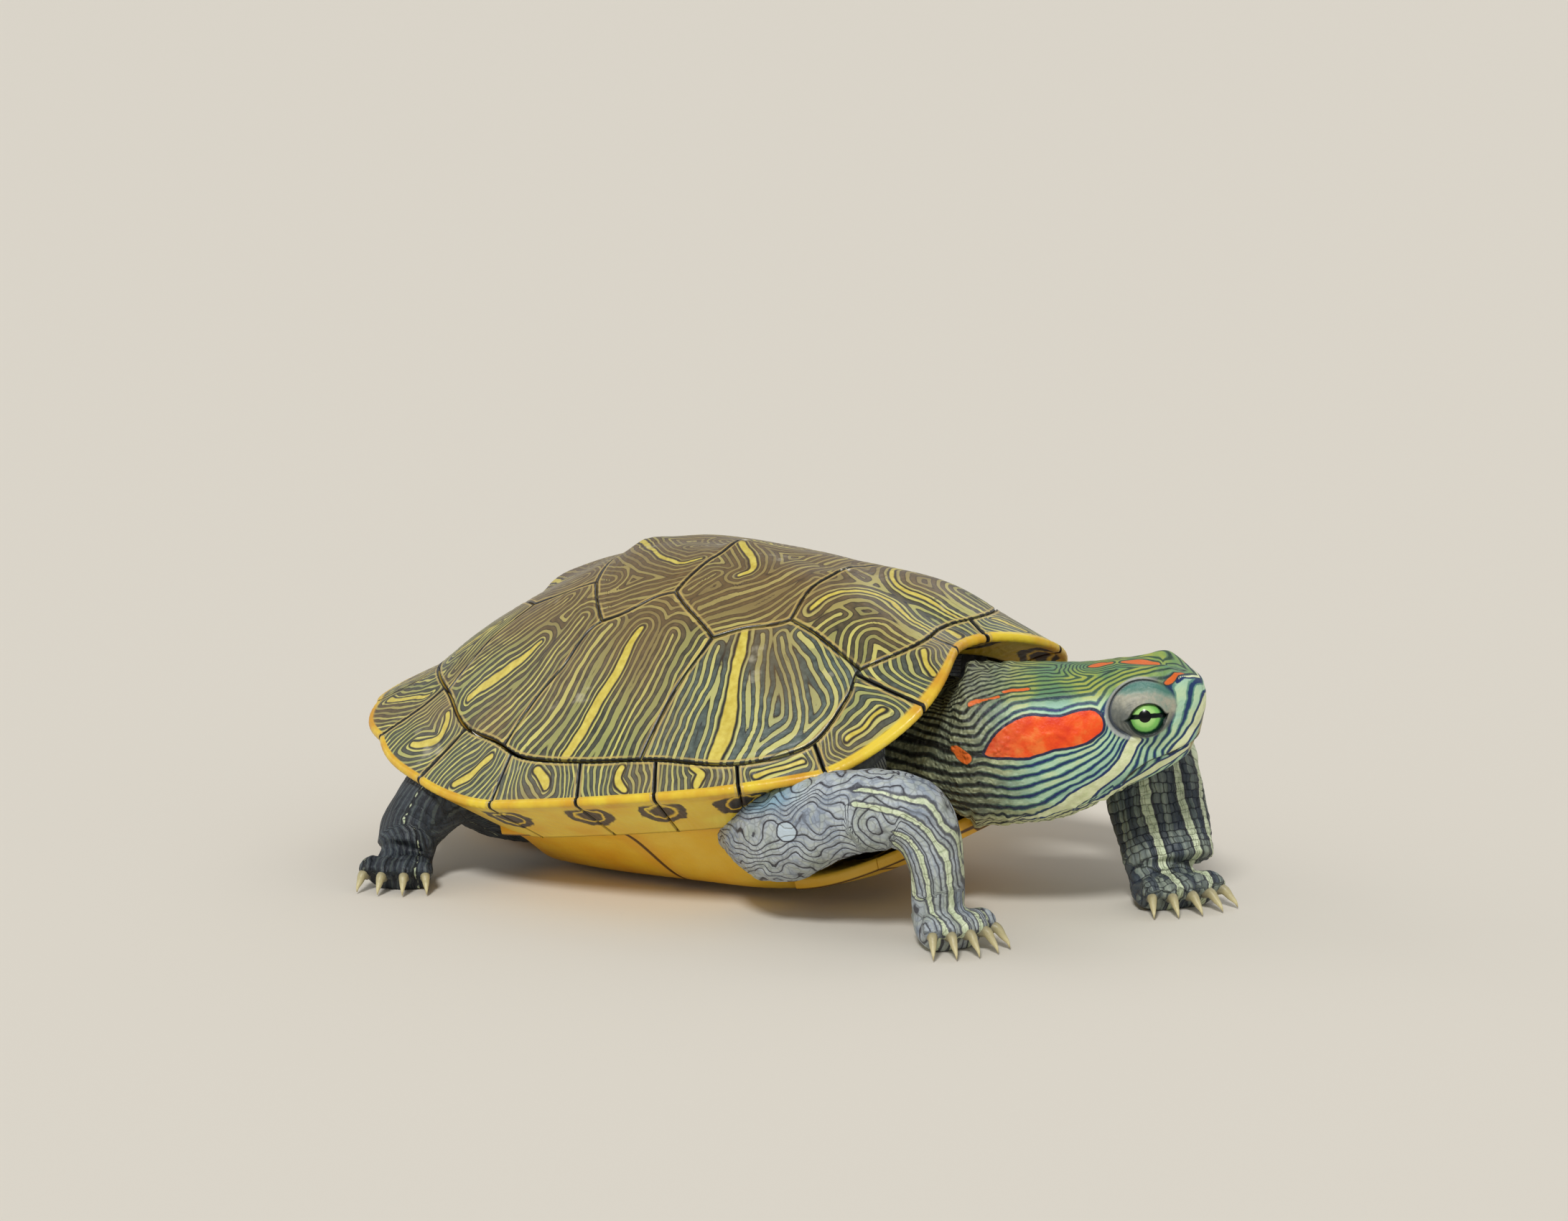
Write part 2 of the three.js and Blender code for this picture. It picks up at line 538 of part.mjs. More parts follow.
const LEGS = {
  foreleg_right: [
    station(inShell(0.2, -0.2, -0.12), 7, 6.5, [0.2, 0, 1]),
    station(inShell(0.3, -0.255, -0.13), 7.5, 6.5, [0.2, 0, 1]),
    station(inWorld(0.43, -0.235, 0.168), 6.6, 5.6, [0.2, 0, 1]),
    station(inWorld(0.52, -0.195, 0.172), 5.4, 5.4, [0.7, 0.2, 0.6]),
    station(inWorld(0.542, -0.178, 0.11), 4.2, 5.6, [0.8, 0.6, 0]),
    station(inWorld(0.541, -0.172, 0.05), 4, 5.2, [0.8, 0.6, 0]),
  ],
  foreleg_left: [
    station(inShell(0.2, 0.2, -0.12), 7, 6.5, [0.2, 0, 1]),
    station(inShell(0.32, 0.27, -0.13), 7.5, 6.5, [0.2, 0, 1]),
    station(inWorld(0.46, 0.29, 0.22), 6.8, 5.8, [0.3, 0, 1]),
    station(inWorld(0.545, 0.262, 0.21), 6.6, 4.8, [0.7, 0.7, 0.3]),
    station(inWorld(0.59, 0.234, 0.13), 7.6, 4, [0.73, 0.68, 0]),
    station(inWorld(0.63, 0.211, 0.055), 7, 3.6, [0.73, 0.68, 0]),
  ],
  hindleg_right: [
    station(inShell(-0.15, -0.17, -0.1), 8, 6.5, [1, 0, 0]),
    station(inShell(-0.22, -0.25, -0.1), 8.5, 6.5, [1, 0, 0]),
    station(inWorld(-0.215, -0.333, 0.128), 7.6, 5.6, [0.9, -0.2, 0]),
    station(inWorld(-0.242, -0.385, 0.075), 6, 4.8, [0.8, -0.3, 0]),
    station(inWorld(-0.235, -0.41, 0.042), 5.2, 4.2, [0.9, -0.3, 0]),
  ],
  hindleg_left: [
    station(inShell(-0.2, 0.18, -0.1), 8, 6.5, [1, 0, 0]),
    station(inShell(-0.3, 0.25, -0.1), 8.5, 6.5, [1, 0.4, 0]),
    station(inWorld(-0.42, 0.35, 0.15), 7.4, 5.6, [0.6, 0.9, 0]),
    station(inWorld(-0.48, 0.39, 0.085), 5.8, 4.8, [0.5, 0.9, 0]),
    station(inWorld(-0.5, 0.405, 0.045), 5.2, 4.2, [0.5, 0.9, 0]),
  ],
};

// Feet: the ankle's place over the floor, heading, palm length and half width, digits, and claws.
const FEET = {
  forefoot_right: {
    at: [0.541, -0.172], heading: -16, palm: 6, half: 5.2, tall: 3.2, digits: 5, reach: 5, spread: 60, claw: 4.2,
  },
  forefoot_left: {
    at: [0.622, 0.206], heading: -20, palm: 6.5, half: 7, tall: 2.8, digits: 5, reach: 4.6, spread: 52, claw: 4.8,
  },
  hindfoot_right: {
    at: [-0.232, -0.412], heading: -56, palm: 6.6, half: 5.4, tall: 2.8, digits: 4, reach: 5, spread: 40, claw: 3.2,
  },
  hindfoot_left: {
    at: [-0.5, 0.405], heading: 150, palm: 7.5, half: 5.6, tall: 2.8, digits: 4, reach: 5.6, spread: 48, claw: 3.2,
  },
};

// A foot stands on the pads of its palm and on its claws, with the digits arched between them.
function foot({ at, heading, palm, half, tall, digits, reach, spread, claw }) {
  const direction = (angle) => new THREE.Vector3(Math.cos(angle * DEG), Math.sin(angle * DEG), 0);
  const along = (from, angle, distance, height) => from.clone().addScaledVector(direction(angle), distance)
    .setZ(height).toArray();
  const ankle = new THREE.Vector3(at[0] * L, at[1] * L, 0);
  const across = direction(heading + 90).toArray();
  const pad = limb([
    station(along(ankle, heading, -2, 5.4), half * 0.66, 3.6, across),
    station(along(ankle, heading, 1, tall), half * 0.84, tall + 0.6, across),
    station(along(ankle, heading, palm * 0.6, tall - 0.6), half, tall, across),
    station(along(ankle, heading, palm, tall - 0.6), half * 0.96, tall - 0.4, across),
  ], 8, 3);
  const digit = (i) => {
    const share = i / (digits - 1) - 0.5;
    const angle = heading - share * spread;
    const root = ankle.clone().addScaledVector(direction(heading), palm * 0.55)
      .addScaledVector(direction(heading + 90), -share * half * 1.35);
    const length = reach * (1 - 0.9 * share * share);
    const side = direction(angle + 90).toArray();
    const toe = limb([
      station(along(root, angle, 0, tall), 1.6, 2, side),
      station(along(root, angle, length * 0.6, tall + 1), 1.45, 1.7, side),
      station(along(root, angle, length, tall), 1.1, 1.3, side),
    ], 6, 2);
    const nail = limb([
      station(along(root, angle, length - 0.6, tall + 0.1), 0.85, 0.95, side),
      station(along(root, angle, length + claw * 0.4, 1.9), 0.6, 0.7, side),
      station(along(root, angle, length + claw * 0.66, 0.4), 0.3, 0.4, side),
    ], 4, 2);
    return [toe, nail];
  };
  const toes = Array.from({ length: digits }, (_, i) => digit(i)).flat();
  const ground = toManifold(new THREE.BoxGeometry(4 * L, 4 * L, 20).translate(0, 0, -10));
  return join(pad, ...toes).subtract(ground);
}

function tail() {
  return limb([
    station(inShell(-0.36, 0, -0.1), 5.4, 4.8, [0, 1, 0]),
    station(inShell(-0.43, 0.01, -0.1), 4.6, 4.2, [0, 1, 0]),
    station(inShell(-0.5, 0.035, -0.12), 3.2, 3, [0, 1, 0]),
    station(inShell(-0.555, 0.075, -0.145), 1.9, 1.8, [0, 1, 0]),
    station(inShell(-0.59, 0.125, -0.165), 0.6, 0.6, [0, 1, 0]),
  ], 8, 6);
}

// ---------------------------------------------------------------- assembly

const model = new THREE.Group();

function place(name, geometry, colour, roughness = 0.55) {
  const mesh = new THREE.Mesh(geometry, new THREE.MeshStandardMaterial({ color: colour, roughness, metalness: 0 }));
  mesh.name = name;
  model.add(mesh);
}

function addShell() {
  place('nuchal', nuchal(), COLOUR.rim);
  for (let i = 0; i < 5; i++) place(`vertebral_${i + 1}`, vertebral(i), COLOUR.scute);
  for (const [side, word] of [[1, 'left'], [-1, 'right']]) {
    for (let i = 0; i < 4; i++) place(`costal_${word}_${i + 1}`, costal(i, side), COLOUR.scute);
    for (let i = 1; i <= 12; i++) place(`marginal_${word}_${i}`, marginal(i, side), COLOUR.rim);
  }
  BELLY_PLATES.forEach((word, i) => place(`plastron_${word}`, bellyPlate(i), COLOUR.plastron));
}

function addFlesh() {
  const shellTools = [rimCutter(1), rimCutter(-1), bellyCutter()].map(toManifold);
  const bodyTool = toManifold(trunk(GAP));
  place('trunk', trunk(), COLOUR.skin, 0.7);
  const { head, jaw } = headAndJaw();
  place('head', head, COLOUR.skin);
  place('lower_jaw', jaw, COLOUR.skin);
  place('neck', cut(neck(), bodyTool, ...shellTools), COLOUR.skin, 0.7);
  place('eye_left', eyeBall(1), COLOUR.eye, 0.1);
  place('eye_right', eyeBall(-1), COLOUR.eye, 0.1);
  place('tail', cut(tail(), bodyTool, ...shellTools), COLOUR.skin, 0.7);
  for (const [legName, footName] of [['foreleg_right', 'forefoot_right'], ['foreleg_left', 'forefoot_left'],
    ['hindleg_right', 'hindfoot_right'], ['hindleg_left', 'hindfoot_left']]) {
    const sole = foot(FEET[footName]);
    const grown = toManifold(limb(LEGS[legName].map((s) => ({ ...s, half: s.half + GAP, thick: s.thick + GAP }))));
    place(footName, toGeometry(sole.subtract(grown)), COLOUR.foot);
    place(legName, cut(limb(LEGS[legName]), bodyTool, ...shellTools), COLOUR.leg);
  }
}

addShell();
addFlesh();

// The footprint's middle becomes the origin.
const bounds = new THREE.Box3().setFromObject(model);
const turtle = new THREE.Group();
model.position.set(-(bounds.min.x + bounds.max.x) / 2, -(bounds.min.y + bounds.max.y) / 2, -bounds.min.z);
turtle.add(model);

export default turtle;
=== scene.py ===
"""A young red-eared slider turtle, life size, walking with its head raised and turned to its left.

Lengths are millimetres inside the functions and metres in the meshes. +X is forward, +Y is the
animal's left and +Z is up. The shell, head and limbs follow the same outlines as the solids.
"""

import bpy
import numpy as np
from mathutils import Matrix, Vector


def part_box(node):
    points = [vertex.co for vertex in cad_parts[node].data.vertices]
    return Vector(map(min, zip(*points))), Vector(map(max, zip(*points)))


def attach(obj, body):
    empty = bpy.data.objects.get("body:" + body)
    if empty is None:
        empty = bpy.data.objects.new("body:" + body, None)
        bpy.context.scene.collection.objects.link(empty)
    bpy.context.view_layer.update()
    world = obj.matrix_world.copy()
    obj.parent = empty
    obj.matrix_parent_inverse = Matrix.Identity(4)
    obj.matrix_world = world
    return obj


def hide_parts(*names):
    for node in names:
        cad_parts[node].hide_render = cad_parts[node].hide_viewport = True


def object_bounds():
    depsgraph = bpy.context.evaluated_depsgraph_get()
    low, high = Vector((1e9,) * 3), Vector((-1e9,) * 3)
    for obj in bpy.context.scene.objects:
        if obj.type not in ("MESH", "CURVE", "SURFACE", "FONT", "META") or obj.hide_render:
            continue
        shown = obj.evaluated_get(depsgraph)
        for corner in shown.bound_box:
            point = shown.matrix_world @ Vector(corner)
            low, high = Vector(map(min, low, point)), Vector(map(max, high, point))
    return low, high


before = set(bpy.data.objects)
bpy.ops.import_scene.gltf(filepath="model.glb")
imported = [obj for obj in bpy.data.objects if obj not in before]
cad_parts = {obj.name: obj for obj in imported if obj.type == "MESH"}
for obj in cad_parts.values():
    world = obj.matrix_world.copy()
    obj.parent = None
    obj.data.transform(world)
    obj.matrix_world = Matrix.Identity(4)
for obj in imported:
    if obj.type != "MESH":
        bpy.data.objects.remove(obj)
cad_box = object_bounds()

TAU, DEG, MM = 2 * np.pi, np.pi / 180, 0.001

# ---------------------------------------------------------------- driving dimensions

LENGTH = 115.0                                 # straight carapace length
FRONT, SIDE, SQUARENESS = 0.498, 0.419, 2.32   # the rim's oval, in shell lengths
CROWN = 0.222                                  # the crown above the rim's mean plane
PITCH, BANK, RIDE = 7 * DEG, 8 * DEG, 0.25     # how the shell is carried
PLATE = 2.2                                    # thickness of a shell plate
SEAM = 0.06                                    # half the groove between two plates
HEAD_AT = np.array([57, 0, 31.6])
HEAD_YAW, HEAD_PITCH, HEAD_ROLL = 32 * DEG, 4 * DEG, 9 * DEG
HEAD_LENGTH = 32.6
EYE = np.array([22.2, 5.2, 1.0])               # centre of the left eyeball in the head's frame
EYE_RADIUS = 3.5
EYEBALL = EYE + [1.15, -0.1, -0.45]            # the eyeball shown, a little ahead of the solid's middle
VIEW_DISTANCE, VIEW_BEARING, VIEW_RISE, VIEW_ROLL = 629.0, 43.4 * DEG, 10.78 * DEG, -0.29 * DEG

# ---------------------------------------------------------------- small maths on arrays


def mix(a, b, t):
    return a + (b - a) * t


def bell(v, width):
    return np.exp(-(v / width) ** 2)


def ease(low, high, v):
    """Rises smoothly from 0 at low to 1 at high."""
    t = np.clip((v - low) / (high - low), 0, 1)
    return t * t * (3 - 2 * t)


def signed_power(v, exponent):
    return np.sign(v) * np.abs(v) ** exponent


def unit(v):
    return v / np.maximum(np.linalg.norm(v, axis=-1, keepdims=True), 1e-9)


def through(stations, values, at):
    """A smooth curve through values at stations, its slopes taken across the neighbours; the values
    may be arrays, and the result has one of them for each place asked for."""
    stations, values, at = (np.asarray(v, float) for v in (stations, values, at))
    last = len(stations) - 1
    k = np.clip(np.searchsorted(stations, at, side="right") - 1, 0, last - 1)
    before, after = np.maximum(np.arange(last + 1) - 1, 0), np.minimum(np.arange(last + 1) + 1, last)
    wide = (slice(None),) + (None,) * (values.ndim - 1)
    slopes = (values[after] - values[before]) / (stations[after] - stations[before])[wide]
    span = stations[k + 1] - stations[k]
    t = np.clip((at - stations[k]) / span, 0, 1)
    t, span = (v.reshape(v.shape + (1,) * (values.ndim - 1)) for v in (t, span))
    return ((2 * t**3 - 3 * t**2 + 1) * values[k] + (t**3 - 2 * t**2 + t) * slopes[k] * span
            + (3 * t**2 - 2 * t**3) * values[k + 1] + (t**3 - t**2) * slopes[k + 1] * span)


def profile(pairs, at):
    return through(*np.array(pairs, float).T, at)


def ripple(points, size, seed, waves=9):
    """Smooth noise between about -1 and 1: sine waves in random directions, near one wavelength."""
    draw = np.random.default_rng(seed)
    points = np.asarray(points, float)
    total = np.zeros(points.shape[:-1])
    for _ in range(waves):
        heading = draw.normal(size=points.shape[-1])
        heading *= TAU / (size * draw.uniform(0.7, 1.5) * np.linalg.norm(heading))
        total = total + np.sin(points @ heading + draw.uniform(0, TAU))
    return total / np.sqrt(waves) / 1.2


def band(points, beads, samples=24):
    """Distance from each point to a smooth curve through the beads, less its half width there.
    A bead is a place in the plane and a half width."""
    beads = np.array(beads, float)
    knots = through(np.arange(len(beads)), beads, np.linspace(0, len(beads) - 1, samples))
    start, way = knots[:-1, :2], np.diff(knots[:, :2], axis=0)
    offset = points[..., None, :] - start
    t = np.clip((offset * way).sum(-1) / np.maximum((way**2).sum(-1), 1e-9), 0, 1)
    away = np.linalg.norm(offset - t[..., None] * way, axis=-1)
    return (away - mix(knots[:-1, 2], knots[1:, 2], t)).min(-1)


def soft_least(distances, blend):
    """The least of several distances, rounded off where two are nearly equal."""
    stacked = np.stack(distances)
    low = stacked.min(0)
    return low - blend * np.log(np.exp(-(stacked - low) / blend).sum(0))


def spread(start, end, count, peaks):
    """Stations from start to end, set closer around each peak: its place, width and extra density."""
    fine = np.linspace(start, end, 4000)
    density = 1 + sum(extra * bell(fine - place, width) for place, width, extra in peaks)
    travelled = np.concatenate([[0], np.cumsum((density[1:] + density[:-1]) / 2)])
    return np.interp(np.linspace(0, travelled[-1], count), travelled, fine)


# ---------------------------------------------------------------- frames

up = np.array([np.sin(PITCH), np.sin(BANK), 0])
up[2] = np.sqrt(1 - up @ up)
ahead = unit(np.array([1.0, 0, 0]) - up[0] * up)
SHELL_TURN = np.stack([ahead, np.cross(up, ahead), up])
SHELL_AT = np.array([0, 0, RIDE * LENGTH])


def turn(axis, angle):
    """The matrix of a turn about one axis."""
    matrix, (i, j) = np.eye(3), [(1, 2), (2, 0), (0, 1)][axis]
    matrix[[i, i, j, j], [i, j, i, j]] = np.cos(angle), -np.sin(angle), np.sin(angle), np.cos(angle)
    return matrix


HEAD_TURN = (turn(2, HEAD_YAW) @ turn(1, -HEAD_PITCH) @ turn(0, HEAD_ROLL)).T

# The solids are centred on their footprint, and the eyes' boxes tell by how much that moves them.
eyes_middle = np.mean([np.array(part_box(node)).mean(0) for node in ("eye_left", "eye_right")], axis=0) / MM
OFFSET = eyes_middle - (np.array([EYE[0], 0, EYE[2]]) @ HEAD_TURN + HEAD_AT)


def from_shell(points):
    return np.asarray(points) @ SHELL_TURN.T + SHELL_AT


def from_head(points):
    return np.asarray(points) @ HEAD_TURN + HEAD_AT


VIEW = np.array([np.sin(VIEW_BEARING) * np.cos(VIEW_RISE),
                 -np.cos(VIEW_BEARING) * np.cos(VIEW_RISE), np.sin(VIEW_RISE)])

# ---------------------------------------------------------------- meshes


def add_mesh(name, points, faces, fields=None):
    """A mesh object at the origin, from points in millimetres, with its named fields."""
    mesh = bpy.data.meshes.new(name)
    mesh.from_pydata((np.asarray(points).reshape(-1, 3) + OFFSET) * MM, [], faces)
    for key, field in (fields or {}).items():
        mesh.attributes.new(key, "FLOAT", "POINT").data.foreach_set(
            "value", np.ascontiguousarray(field, np.float32).ravel())
    mesh.polygons.foreach_set("use_smooth", np.ones(len(mesh.polygons), bool))
    mesh.update()
    piece = bpy.data.objects.new(name, mesh)
    bpy.context.scene.collection.objects.link(piece)
    return piece


def outward(points, quads, triangles):
    """The faces as lists, all turned round if they enclose a negative volume."""
    p = np.asarray(points).reshape(-1, 3)
    fans = np.vstack([quads[:, [0, 1, 2]], quads[:, [0, 2, 3]], triangles])
    volume = np.einsum("ij,ij->", np.cross(p[fans[:, 0]], p[fans[:, 1]]), p[fans[:, 2]])
    way = 1 if volume > 0 else -1
    return quads[:, ::way].tolist() + triangles[:, ::way].tolist()


def grid_quads(index, wrap=False):
    """Four-sided faces between neighbouring rows and columns of an array of point numbers."""
    after = np.roll(index, -1, axis=1)
    walls = np.stack([index[:-1], after[:-1], after[1:], index[1:]], -1)
    return (walls if wrap else walls[:, :-1]).reshape(-1, 4)


def capped(rings):
    """A tube over rings of points: the points with the middle of each end added, the walls' faces, and
    the fans of triangles that close the ends."""
    rows, columns = rings.shape[:2]
    index = np.arange(rows * columns).reshape(rows, columns)
    points = np.vstack([rings.reshape(-1, 3), rings[0].mean(0), rings[-1].mean(0)])
    fans = [np.stack([np.full(columns, middle), np.roll(ring, -1), ring], -1)[:, ::way]
            for ring, middle, way in ((index[0], rows * columns, 1), (index[-1], rows * columns + 1, -1))]
    return points, grid_quads(index, wrap=True), np.vstack(fans)


def zipped(rings):
    """A tube over rings of points whose ends are closed by strips between each point and its opposite,
    as suits a thin section."""
    rows, columns = rings.shape[:2]
    index = np.arange(rows * columns).reshape(rows, columns)
    k = np.arange(columns // 2 - 1)
    strips = [np.stack([ring[k + 1], ring[k], ring[columns - 1 - k], ring[columns - 2 - k]], -1)[:, ::way]
              for ring, way in ((index[0], 1), (index[-1], -1))]
    return rings.reshape(-1, 3), np.vstack([grid_quads(index, wrap=True), *strips]), np.zeros((0, 3), int)


def add_loft(name, rings, fields=None, close=capped):
    """A closed surface over rings of points, with its fields. Where the ends have points of their own
    in the middle, those take the mean of the end's ring."""
    points, quads, triangles = close(rings)
    ends = [0, -1] if close is capped else []
    filled = {key: np.concatenate([field.ravel()] + [[field[end].mean()] for end in ends])
              for key, field in (fields or {}).items()}
    return add_mesh(name, points, outward(points, quads, triangles), filled)


def read(items, key, width=1, kind=float):
    """One value, or several, of every vertex, edge, loop or face of a mesh, as an array."""
    values = np.empty(len(items) * width, kind)
    items.foreach_get(key, values)
    return values.reshape(-1, width) if width > 1 else values


def ring_normals(rings):
    """Outward directions over rings of points, from the differences between neighbours."""
    around = np.roll(rings, -1, axis=1) - np.roll(rings, 1, axis=1)
    normals = unit(np.cross(around, np.gradient(rings, axis=0)))
    facing = (normals * (rings - rings.mean(1, keepdims=True))).sum()
    return normals if facing > 0 else -normals


def nearest(points, marks):
    """Distance from each point to the nearest mark."""
    flat = points.reshape(-1, 3)
    blocks = [np.linalg.norm(flat[k:k + 4000, None] - marks, axis=-1).min(1) for k in range(0, len(flat), 4000)]
    return np.concatenate(blocks).reshape(points.shape[:-1])


# ---------------------------------------------------------------- carapace surface

# By bearing in degrees, where the plates of the back meet the marginals, as a share of the rim's radius.
MARGIN = [[0, 0.92], [6, 0.91], [20, 0.82], [24, 0.86], [33, 0.925], [46, 0.94], [62, 0.912],
          [80, 0.905], [95, 0.89], [105, 0.852], [115, 0.84], [128, 0.793], [150, 0.8], [180, 0.83]]
KNOBS = [0.269, 0.084, -0.105, -0.3]           # where the keel's knobs stand, in shell lengths
# Where the dome lies above or below the plain oval: its height there in millimetres, then the place
# and the reach forward and the place and the reach to the left, in shell lengths.
SWELLS = [(0.8, -0.08, 0.06, 0, 0.12), (0.8, -0.24, 0.09, 0, 0.1), (-2.7, 0.07, 0.17, 0.13, 0.14),
          (-0.6, 0.2, 0.09, 0.05, 0.1), (1.6, 0.36, 0.06, 0.12, 0.08)]


def rim_radius(bearing):
    """How far out the rim lies at a bearing from straight ahead: an oval, broader behind, whose first
    marginals stand forward of the notched nuchal plate."""
    off = np.abs(bearing)
    total = np.abs(np.cos(bearing) / FRONT) ** SQUARENESS + np.abs(np.sin(bearing) / SIDE) ** SQUARENESS
    forward = 0.028 * bell(off - 17 * DEG, 9 * DEG) - 0.032 * bell(off, 8 * DEG)
    lobed = 1 - 0.044 * np.cos(bearing) + 0.039 * np.cos(3 * bearing)
    return LENGTH * (total ** (-1 / SQUARENESS) * lobed + forward)


def rim_height(bearing):
    """The rim is level along the flanks and flares up over the neck and the tail."""
    off = np.abs(bearing)
    return LENGTH * (-0.051 + 0.112 * (1 - ease(2 * DEG, 34 * DEG, off)) + 0.109 * ease(98 * DEG, 150 * DEG, off))


def margin_share(bearing):
    """How far out the plates of the back meet the marginals, as a share of the rim's radius."""
    return profile(MARGIN, np.abs(bearing) / DEG)


def keel(x, y):
    """The low keel, rising to a blunt knob at the back of each vertebral plate and dropping behind it,
    with the slow swells of the dome about it: bells of the distance forward times bells of that aside."""
    knobs = sum(bell(x - knob * LENGTH, np.where(x > knob * LENGTH, 0.05, 0.016) * LENGTH) for knob in KNOBS)
    swells = sum(height * bell(x / LENGTH - forward, long) * bell(y / LENGTH - left, wide)
                 for height, forward, long, left, wide in SWELLS)
    return (swells + bell(y, 0.035 * LENGTH) * (0.1 + 1.1 * ease(0.1, 0.25, -x / LENGTH))
            + bell(y, 0.028 * LENGTH) * (1.4 * knobs - 0.5 * ease(0.2, 0.05, np.abs(x) / LENGTH)))


def dome_height(x, y):
    """A dome over the rim, drawn in behind to a slight hollow above the flared rear marginals."""
    bearing = np.arctan2(y, x)
    share = np.hypot(x, y) / rim_radius(bearing)
    behind = ease(90 * DEG, 150 * DEG, np.abs(bearing))
    fullness = 1.87 + 0.2 * np.sin(bearing) ** 2 - 0.27 * behind
    skirt = 0.012 * LENGTH * bell(share - 0.84, 0.13) * behind
    return (CROWN * LENGTH * (1 - share**fullness) + rim_height(bearing) * share**2 - skirt
            + keel(x, y) * np.clip(1 - share, 0, 1) ** 0.3)


def on_dome(x, y, depth=0.0):
    """Points of the carapace over plan points, sunk below its surface by a depth."""
    step = 0.05
    slope_x = (dome_height(x + step, y) - dome_height(x - step, y)) / (2 * step)
    slope_y = (dome_height(x, y + step) - dome_height(x, y - step)) / (2 * step)
    normal = unit(np.stack([-slope_x, -slope_y, np.ones_like(x)], -1))
    return np.stack([x, y, dome_height(x, y)], -1) - np.asarray(depth)[..., None] * normal


def wandering(x, y):
    """The seams wander a little: one sideways shift of the plan, dying out at the marginals."""
    plan = np.stack([x, y], -1)
    share = np.hypot(x, y) / rim_radius(np.arctan2(y, x))
    still = 1 - ease(0.6, 0.78, share)
    return x + 0.5 * still * ripple(plan, 13, 5), y + 0.5 * still * ripple(plan, 13, 6)


# Seams of the back, in shell lengths. Across: place at the keel and at the ends, and half the length.
CROSS_SEAMS = [(0.268, 0.262, 0.12), (0.083, 0.09, 0.143), (-0.115, -0.072, 0.143), (-0.315, -0.295, 0.095)]
# The widest points of the middle vertebral plates, where the costal plates' seams start.
SIDE_CORNERS = [(0.18, 0.193), (0.0, 0.213), (-0.185, 0.165)]
# The bearings at which the costal plates' seams reach the marginals.
COSTAL_BEARINGS = np.array([20.1, 65.5, 102, 128.5, 157]) * DEG


def along_margin(start, end):
    """A run of the seam against the marginals between two bearings."""
    def run(t):
        bearing = mix(start, end, t)
        bearing = np.where(bearing < -np.pi, bearing + TAU, bearing)
        reach = margin_share(bearing) * rim_radius(bearing)
        return np.stack([reach * np.cos(bearing), reach * np.sin(bearing)], -1)
    return run


def straight(*corners):
    """Straight runs between plan corners in shell lengths, each taking an equal share."""
    places, corners = np.linspace(0, 1, len(corners)), np.array(corners) * LENGTH
    return lambda t: np.stack([np.interp(t, places, corners[:, k]) for k in (0, 1)], -1)


def cross_seam(middle, end, half):
    """A bowed seam across the back, from right to left."""
    def run(t):
        y = mix(-half, half, t)
        return LENGTH * np.stack([mix(middle, end, (y / half) ** 2), y], -1)
    return run


def margin_point(bearing, side):
    return tuple(along_margin(side * bearing, side * bearing)(np.array(0.0)) / LENGTH)


def patch(rear, front, right, left):
    """Plan points of a plate between four seams, blended from its edges, less the groove."""
    zero, one, half = np.array(0.0), np.array(1.0), np.array(0.5)
    a, b, c, d = rear(zero), rear(one), front(zero), front(one)
    width = max(np.linalg.norm(a - b), SEAM)
    depth = np.linalg.norm(front(half) - rear(half))

    def plan(u, v):
        u, v = mix(SEAM / width, 1 - SEAM / width, u), mix(SEAM / depth, 1 - SEAM / depth, v)
        uu, vv = u[..., None], v[..., None]
        flat = (mix(rear(u), front(u), vv) + mix(right(v), left(v), uu)
                - mix(mix(a, b, uu), mix(c, d, uu), vv))
        return wandering(flat[..., 0], flat[..., 1])
    return plan


def vertebral_plan(index):
    """Plan points of one plate along the keel, counted from the front."""
    before = CROSS_SEAMS[index - 1] if index else None
    after = CROSS_SEAMS[index] if index < 4 else None
    first, last = COSTAL_BEARINGS[0], COSTAL_BEARINGS[4]
    front = cross_seam(*before) if before else along_margin(-first, first)
    rear = cross_seam(*after) if after else along_margin(-last, last - TAU)

    def edge(side):
        start = (after[1], side * after[2]) if after else margin_point(last, side)
        end = (before[1], side * before[2]) if before else margin_point(first, side)
        widest = [(SIDE_CORNERS[index - 1][0], side * SIDE_CORNERS[index - 1][1])] if before and after else []
        return straight(start, *widest, end)
    return patch(rear, front, edge(-1), edge(1))


def costal_plan(index, side):
    """Plan points of one plate beside the keel's, counted from the front."""
    def corner(k):
        return (SIDE_CORNERS[k][0], side * SIDE_CORNERS[k][1])

    def end(k):
        return (CROSS_SEAMS[k][1], side * CROSS_SEAMS[k][2])
    front_top = end(0) if index == 0 else corner(index - 1)
    rear_top = end(3) if index == 3 else corner(index)
    between = [end(index)] if index in (1, 2) else []
    ahead_of, behind = COSTAL_BEARINGS[index], COSTAL_BEARINGS[index + 1]
    return patch(straight(rear_top, margin_point(behind, side)), straight(front_top, margin_point(ahead_of, side)),
                 straight(rear_top, *between, front_top), along_margin(side * behind, side * ahead_of))


